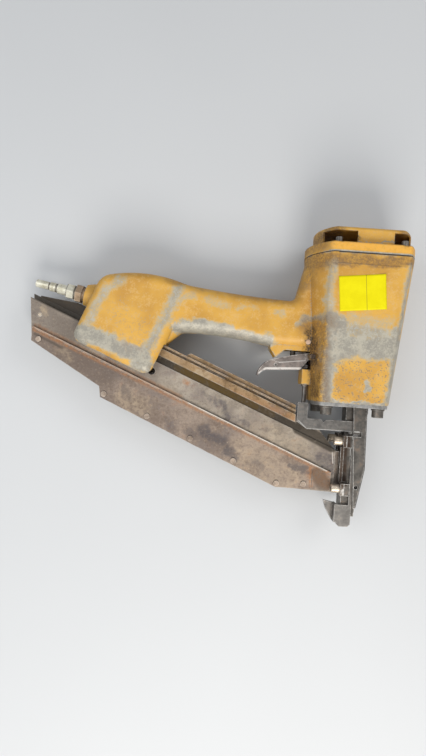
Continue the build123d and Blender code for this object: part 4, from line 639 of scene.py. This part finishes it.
# On the rails, the dark line and the last deep line paint the air plug's shadow, the other deep line paints
# shade under the bracket, the pale patch is a painted reflection of the yellow grip and the bright line a
# painted highlight
RAIL_MARKS = {
    "dark": [((-350, 220), (-330, 212), 10, 30, 0.7)],
    "pale": [((-183, 156), (-172, 151), 2.5, 4)],
    "oily": [((-148, 130), (-120, 122), 2, 12, 0.6)],
    "rusted": [((-140, 132), (-70, 108), 2, 6, 0.6)],
    "deep": [((-100, 106), (-60, 88), 1, 6, 0.4), ((-372, 236), (-318, 214), 9, 4, 0.85)],
    "bright": [((-170, 158), (-150, 149), 0.3, 0.6, 0.6)],
}

# Bright lines on the trigger, the nose, the magazine's ear and the contact arm, painted highlights on lit
# edges with rubbed metal, and painted shade lines on the nose, the ear and the air plug's grooves
TRIGGER_HIGHLIGHTS = [
    ((-103, 164.4), (-57, 167.2), 0.7, 1.2, 0.9),
    ((-110.6, 158.5), (-104, 164.2), 0.5, 1.0, 0.8),
    ((-88, 172.5), (-58, 176.5), 0.3, 0.5, 0.8),
]
NOSE_HIGHLIGHTS = [((0.8, 90), (4.6, 20), 0.9, 0.7, 1.0), ((-1, 97), (7, 97.5), 1.0, 1.5, 0.8)]
NOSE_SHADE = [((-8, 90), (-7, 42), 3.5, 3.5, 0.95)]
EAR_SHADE = [((-7, 92), (-6, 40), 4, 5, 0.85), ((-14, 96), (-14, 84), 2, 4, 0.5)]
EAR_RUBBED = [((-7, 31), (-4, 22), 2, 1.5, 0.8), ((-6, 86), (1, 84), 1.2, 1.2, 0.7)]
PLUG_SHADE = [
    ((-354.3, 234.9), (-351.7, 248.9), 0.6, 0.8, 0.85),
    ((-362.7, 236.4), (-360.1, 250.4), 0.7, 0.9, 0.8),
    ((-341.6, 232.5), (-339.0, 246.5), 0.2, 0.9, 0.8),
    ((-332.3, 230.8), (-329.7, 244.8), 0.6, 1.0, 0.75),
    ((-381.5, 240.5), (-379.5, 254.0), 1.0, 3.0, 0.6),
]
ARM_HIGHLIGHTS = [
    ((-51, 98.2), (-2, 98.2), 0.4, 0.6, 0.8),
    ((-62, 107), (-53, 99), 0.3, 0.6, 0.7),
    ((3, 94), (6, 94), 1.0, 1.0, 0.8),
]

# Finishes with their dark and light colour and, on steel, the colour of worn edges
finishes = {
    "body_paint": casting("body_paint", WORN, SPECKED, STAINED, POCKET_GRIME_AND_SHADE),
    "cap_paint": casting(
        "cap_paint", CAP_WORN, SPECKED[:1], CAP_STAINS_AND_SHADE, CAP_SHADE, CAP_EDGE, CAP_FRESH, CAP_LINED
    ),
    "channel_steel": sheet_steel(
        "channel_steel", (0.255, 0.212, 0.168), (0.42, 0.36, 0.292), CHANNEL_MARKS, reflection_lines=CHANNEL_GRIP_REFLECTION
    ),
    "cover_steel": sheet_steel(
        "cover_steel", (0.2, 0.15, 0.118), (0.335, 0.262, 0.208), COVER_MARKS, rust=0.4
    ),
    "rail_steel": sheet_steel(
        "rail_steel", (0.19, 0.117, 0.056), (0.40, 0.26, 0.132), RAIL_MARKS, rust=0.5
    ),
    "nose_steel": machined(
        "nose_steel", (0.085, 0.078, 0.07), (0.19, 0.175, 0.155), (0.8, 0.78, 0.74),
        rubbed=NOSE_HIGHLIGHTS, shade_lines=NOSE_SHADE,
    ),
    "plate_alloy": machined(
        "plate_alloy", (0.2, 0.195, 0.185), (0.42, 0.415, 0.4), (0.62, 0.61, 0.58),
        rough=0.4, metallic=0.5,
    ),
    "arm_steel": machined(
        "arm_steel", (0.14, 0.13, 0.12), (0.26, 0.245, 0.225), (0.6, 0.58, 0.55),
        brown=0.2, rubbed=ARM_HIGHLIGHTS,
    ),
    "ear_steel": machined(
        "ear_steel", (0.15, 0.12, 0.095), (0.34, 0.30, 0.26), (0.72, 0.70, 0.66),
        brown=0.55, rubbed=EAR_RUBBED, shade_lines=EAR_SHADE,
    ),
    "trigger_steel": machined(
        "trigger_steel", (0.17, 0.145, 0.132), (0.34, 0.295, 0.268), (0.8, 0.76, 0.71),
        rough=0.5, edge=TRIGGER_EDGE, brown=0.15, rubbed=TRIGGER_HIGHLIGHTS,
    ),
    "bolt_steel": machined(
        "bolt_steel", (0.09, 0.082, 0.072), (0.22, 0.20, 0.175), (0.5, 0.48, 0.44), edge=SMALL_EDGE
    ),
    "bright_steel": machined(
        "bright_steel", (0.44, 0.36, 0.27), (0.84, 0.72, 0.58), (0.9, 0.84, 0.76), edge=SMALL_EDGE
    ),
    "rivet_steel": machined(
        "rivet_steel", (0.25, 0.185, 0.14), (0.5, 0.41, 0.33), (0.75, 0.66, 0.57),
        rough=0.34, edge=SMALL_EDGE, brown=0.5,
    ),
    "pin_copper": machined(
        "pin_copper", (0.55, 0.33, 0.2), (0.85, 0.62, 0.46), (0.9, 0.74, 0.6),
        rough=0.4, metallic=0.4, edge=SMALL_EDGE,
    ),
    "plug_zinc": machined(
        "plug_zinc", (0.5, 0.46, 0.34), (0.92, 0.9, 0.76), (0.95, 0.93, 0.84),
        rough=0.3, metallic=0.5, edge=SMALL_EDGE, shade_lines=PLUG_SHADE,
    ),
    "bushing_brass": machined(
        "bushing_brass", (0.26, 0.175, 0.105), (0.56, 0.42, 0.29), (0.7, 0.58, 0.45), brown=0.5
    ),
    "spring_steel": machined(
        "spring_steel", (0.18, 0.17, 0.16), (0.4, 0.38, 0.36), (0.6, 0.58, 0.55), edge=WIRE_EDGE
    ),
    "hard_steel": machined(
        "hard_steel", (0.3, 0.29, 0.28), (0.5, 0.49, 0.47), (0.75, 0.73, 0.7), rough=0.25, metallic=0.95
    ),
    "turned_alloy": machined(
        "turned_alloy", (0.45, 0.44, 0.42), (0.62, 0.61, 0.58), (0.75, 0.74, 0.7), rough=0.28, metallic=0.9
    ),
    "seal_rubber": moulded("seal_rubber", (0.012, 0.012, 0.013), (0.03, 0.03, 0.032), rough=0.6),
    "valve_plastic": moulded("valve_plastic", (0.035, 0.033, 0.03), (0.075, 0.07, 0.062), rough=0.42),
}

# The pieces that have each finish
worn_by = {
    "body_paint": ["housing"],
    "cap_paint": ["cylinder_cap", "exhaust_deflector"],
    "channel_steel": ["magazine_channel"],
    "cover_steel": ["cover_left", "cover_right"],
    "rail_steel": ["rail_left", "rail_right", "top_strip", "hanger", "nail_latch"],
    "nose_steel": ["nose_body", "nose_side_plate"],
    "plate_alloy": ["nose_plate"],
    "arm_steel": ["contact_bracket", "contact_foot", "contact_rod"],
    "ear_steel": ["magazine_ear"],
    "trigger_steel": ["trigger", "trigger_lever", "pusher"],
    "bolt_steel": [
        "cap_screws", "deflector_screw", "nose_bolts", "nose_washers",
        "hanger_bolt", "lever_pin", "valve_stem",
    ],
    "bright_steel": ["plate_bolts", "plate_washers", "nail_latch_pin"],
    "rivet_steel": ["magazine_rivets", "trigger_pin"],
    "pin_copper": ["valve_lock_pin"],
    "plug_zinc": ["air_plug"],
    "bushing_brass": ["air_bushing"],
    "spring_steel": ["contact_spring", "head_valve_spring", "pusher_spring", "valve_spring"],
    "hard_steel": ["driver_blade"],
    "turned_alloy": ["cylinder_sleeve", "piston", "head_valve"],
    "seal_rubber": ["bumper", "cap_gasket", "head_valve_ring", "piston_ring", "sleeve_rings", "valve_rings"],
    "valve_plastic": ["valve_body"],
}
for finish, names in worn_by.items():
    for name in names:
        for slot in nodes[name].material_slots:
            slot.material = finishes[finish]

# Each coil spring, held at its upper end, is copied onto the frame and the imported one hidden; the table
# names the joint whose piece presses it from below
PRESSED_BY = {
    "head_valve_spring": "head_valve_lift",
    "valve_spring": "stem_lift",
    "contact_spring": "contact_slide",
}
for name, joint in PRESSED_BY.items():
    coil = bpy.data.objects.new(name + "_coil", nodes[name].data.copy())
    bpy.context.collection.objects.link(coil)
    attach(coil, "frame")
    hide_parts(name)
    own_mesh(coil)

# Blank sale label on the body's right face: corners in X and Y, where the rule crosses it, and its finish
LABEL = [Vector((-34.4, 268.7)), Vector((16.4, 274.3)), Vector((20.6, 236.5)), Vector((-30.4, 230.9))]
LABEL_SPLIT = 0.58
LABEL_RULE = (tuple(LABEL[0].lerp(LABEL[1], LABEL_SPLIT)), tuple(LABEL[3].lerp(LABEL[2], LABEL_SPLIT)))
LABEL_RULE_REACH, LABEL_RULE_SOFT = 0.2, 0.15
LABEL_NOISE = {"fibre": (0.0008, 3, 0.6, (1, 0.3, 1)), "patch": (0.012, 3)}
LABEL_FADE = {"pale": (0.35, 0.7), "fibre": (0.6, 0.8, 0.12)}
LABEL_BUMP = (0.0001, 0.3)
LABEL_ROUGH, LABEL_FIBRE_ROUGH = 0.5, 0.15
LABEL_GLOSS = 0.12

# The label's grid, and in millimetres its thickness, its lift off the casting and the height it is laid from
LABEL_COLUMNS, LABEL_ROWS = 24, 18
LABEL_THICKNESS = 0.12
LABEL_LIFT = 0.15
LABEL_DROP = 100

# The curl at one corner grows as the square of the way past its start, counted in widths and heights
LABEL_CURL_START, LABEL_CURL = 1.72, 10.8


def label_paper():
    """Yellow paper with faint blotches and fibre and a plain rule across it."""
    coat = Finish("label_paper")
    fibre, patch = coat.noises(LABEL_NOISE)
    colour = coat.blend(coat.fade(patch, *LABEL_FADE["pale"]), LABEL_DEEP, LABEL_PALE)
    colour = coat.blend(coat.stroke(*LABEL_RULE, LABEL_RULE_REACH, LABEL_RULE_SOFT), colour, LABEL_INK)
    colour = coat.blend(coat.fade(fibre, *LABEL_FADE["fibre"]), colour, LABEL_FIBRE)
    coat.bump(fibre, *LABEL_BUMP)
    coat.shader.inputs["Specular IOR Level"].default_value = LABEL_GLOSS
    return coat.close(colour, coat.plus(LABEL_ROUGH, coat.times(fibre, LABEL_FIBRE_ROUGH)), 0.0)


# The label is laid on the casting from above, point by point
label_mesh = bmesh.new()
body = nodes["housing"]
grid = []
for row in range(LABEL_ROWS + 1):
    line = []
    for column in range(LABEL_COLUMNS + 1):
        u, v = column / LABEL_COLUMNS, row / LABEL_ROWS
        spot = LABEL[0].lerp(LABEL[1], u).lerp(LABEL[3].lerp(LABEL[2], u), v) * MM
        _, where, _, _ = body.ray_cast((spot.x, spot.y, LABEL_DROP * MM), (0, 0, -1))
        lift = LABEL_LIFT + LABEL_CURL * max(0.0, u + (1 - v) - LABEL_CURL_START) ** 2
        line.append(label_mesh.verts.new((spot.x, spot.y, where.z + lift * MM)))
    grid.append(line)
for upper, lower in zip(grid, grid[1:]):
    for a, b, c, d in zip(upper, upper[1:], lower[1:], lower):
        label_mesh.faces.new((d, c, b, a)).smooth = True
label_data = bpy.data.meshes.new("sale_label")
label_mesh.to_mesh(label_data)
label_mesh.free()
label = bpy.data.objects.new("sale_label", label_data)
bpy.context.collection.objects.link(label)
label_data.materials.append(label_paper())
paper = label.modifiers.new("paper", "SOLIDIFY")
paper.thickness = LABEL_THICKNESS * MM
paper.offset = 1.0
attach(label, "frame")

# Pale floor, tilted as the tool rests on its cap and magazine
FLOOR_POINT = Vector((-0.040, 0.203, -0.0444))
FLOOR_NORMAL = Vector((0.0408, 0.061, 1)).normalized()
FLOOR_HALF = 4.0
FLOOR_CORNERS = ((-1, -1), (1, -1), (1, 1), (-1, 1))
FLOOR_NOISE = (0.4, 2)
FLOOR_ROUGH = 0.85
floor_data = bpy.data.meshes.new("floor")
turn = FLOOR_NORMAL.to_track_quat("Z", "Y")
corners = [FLOOR_POINT + turn @ Vector((x * FLOOR_HALF, y * FLOOR_HALF, 0)) for x, y in FLOOR_CORNERS]
floor_data.from_pydata(corners, [], [(0, 1, 2, 3)])
floor = bpy.data.objects.new("floor", floor_data)
bpy.context.collection.objects.link(floor)
ground = Finish("floor_paper")
ground_colour = ground.blend(ground.noise(*FLOOR_NOISE), FLOOR_DEEP, FLOOR_PALE)
floor_data.materials.append(ground.close(ground_colour, FLOOR_ROUGH, 0.0))

# The point that the lamps face, each lamp's place, size, power and colour, and an even sky
MIDDLE = (-0.15, 0.17, 0.0)
LAMPS = {
    "key": ((0.05, -1.0, 1.15), 0.85, 24, (1.0, 0.97, 0.92)),
    "fill": ((-1.1, 0.3, 1.3), 1.2, 8, (0.95, 0.98, 1.0)),
    "rim": ((0.9, 0.9, 1.0), 0.9, 5, (1.0, 0.98, 0.95)),
}
SKY_COLOUR = (0.92, 0.95, 1.0, 1)
SKY_STRENGTH = 0.42


def lamp(name, place, size, watts, colour):
    """Soft square light that faces the middle of the tool."""
    data = bpy.data.lights.new(name, "AREA")
    data.size, data.energy, data.color = size, watts, colour
    light = bpy.data.objects.new(name, data)
    bpy.context.collection.objects.link(light)
    aim = (Vector(MIDDLE) - Vector(place)).to_track_quat("-Z", "Y")
    light.matrix_world = Matrix.Translation(place) @ aim.to_matrix().to_4x4()


for name, values in LAMPS.items():
    lamp(name, *values)
world = bpy.data.worlds.new("studio")
world.use_nodes = True
sky = world.node_tree.nodes["Background"]
sky.inputs["Color"].default_value = SKY_COLOUR
sky.inputs["Strength"].default_value = SKY_STRENGTH
bpy.context.scene.world = world
bpy.context.scene.view_settings.view_transform = "Standard"

# Camera straight above the tool's right side, with the photograph's small roll
CAMERA_PLACE = (-0.16327, 0.14902, 0.641)
CAMERA_ROLL = math.radians(3.9)
CAMERA_LENS = 26.0
CAMERA_NEAR, CAMERA_FAR = 0.01, 20
camera_data = bpy.data.cameras.new("camera")
camera_data.lens = CAMERA_LENS
camera_data.clip_start, camera_data.clip_end = CAMERA_NEAR, CAMERA_FAR
camera = bpy.data.objects.new("camera", camera_data)
bpy.context.collection.objects.link(camera)
camera.matrix_world = Matrix.Translation(CAMERA_PLACE) @ Matrix.Rotation(CAMERA_ROLL, 4, "Z")
bpy.context.scene.camera = camera
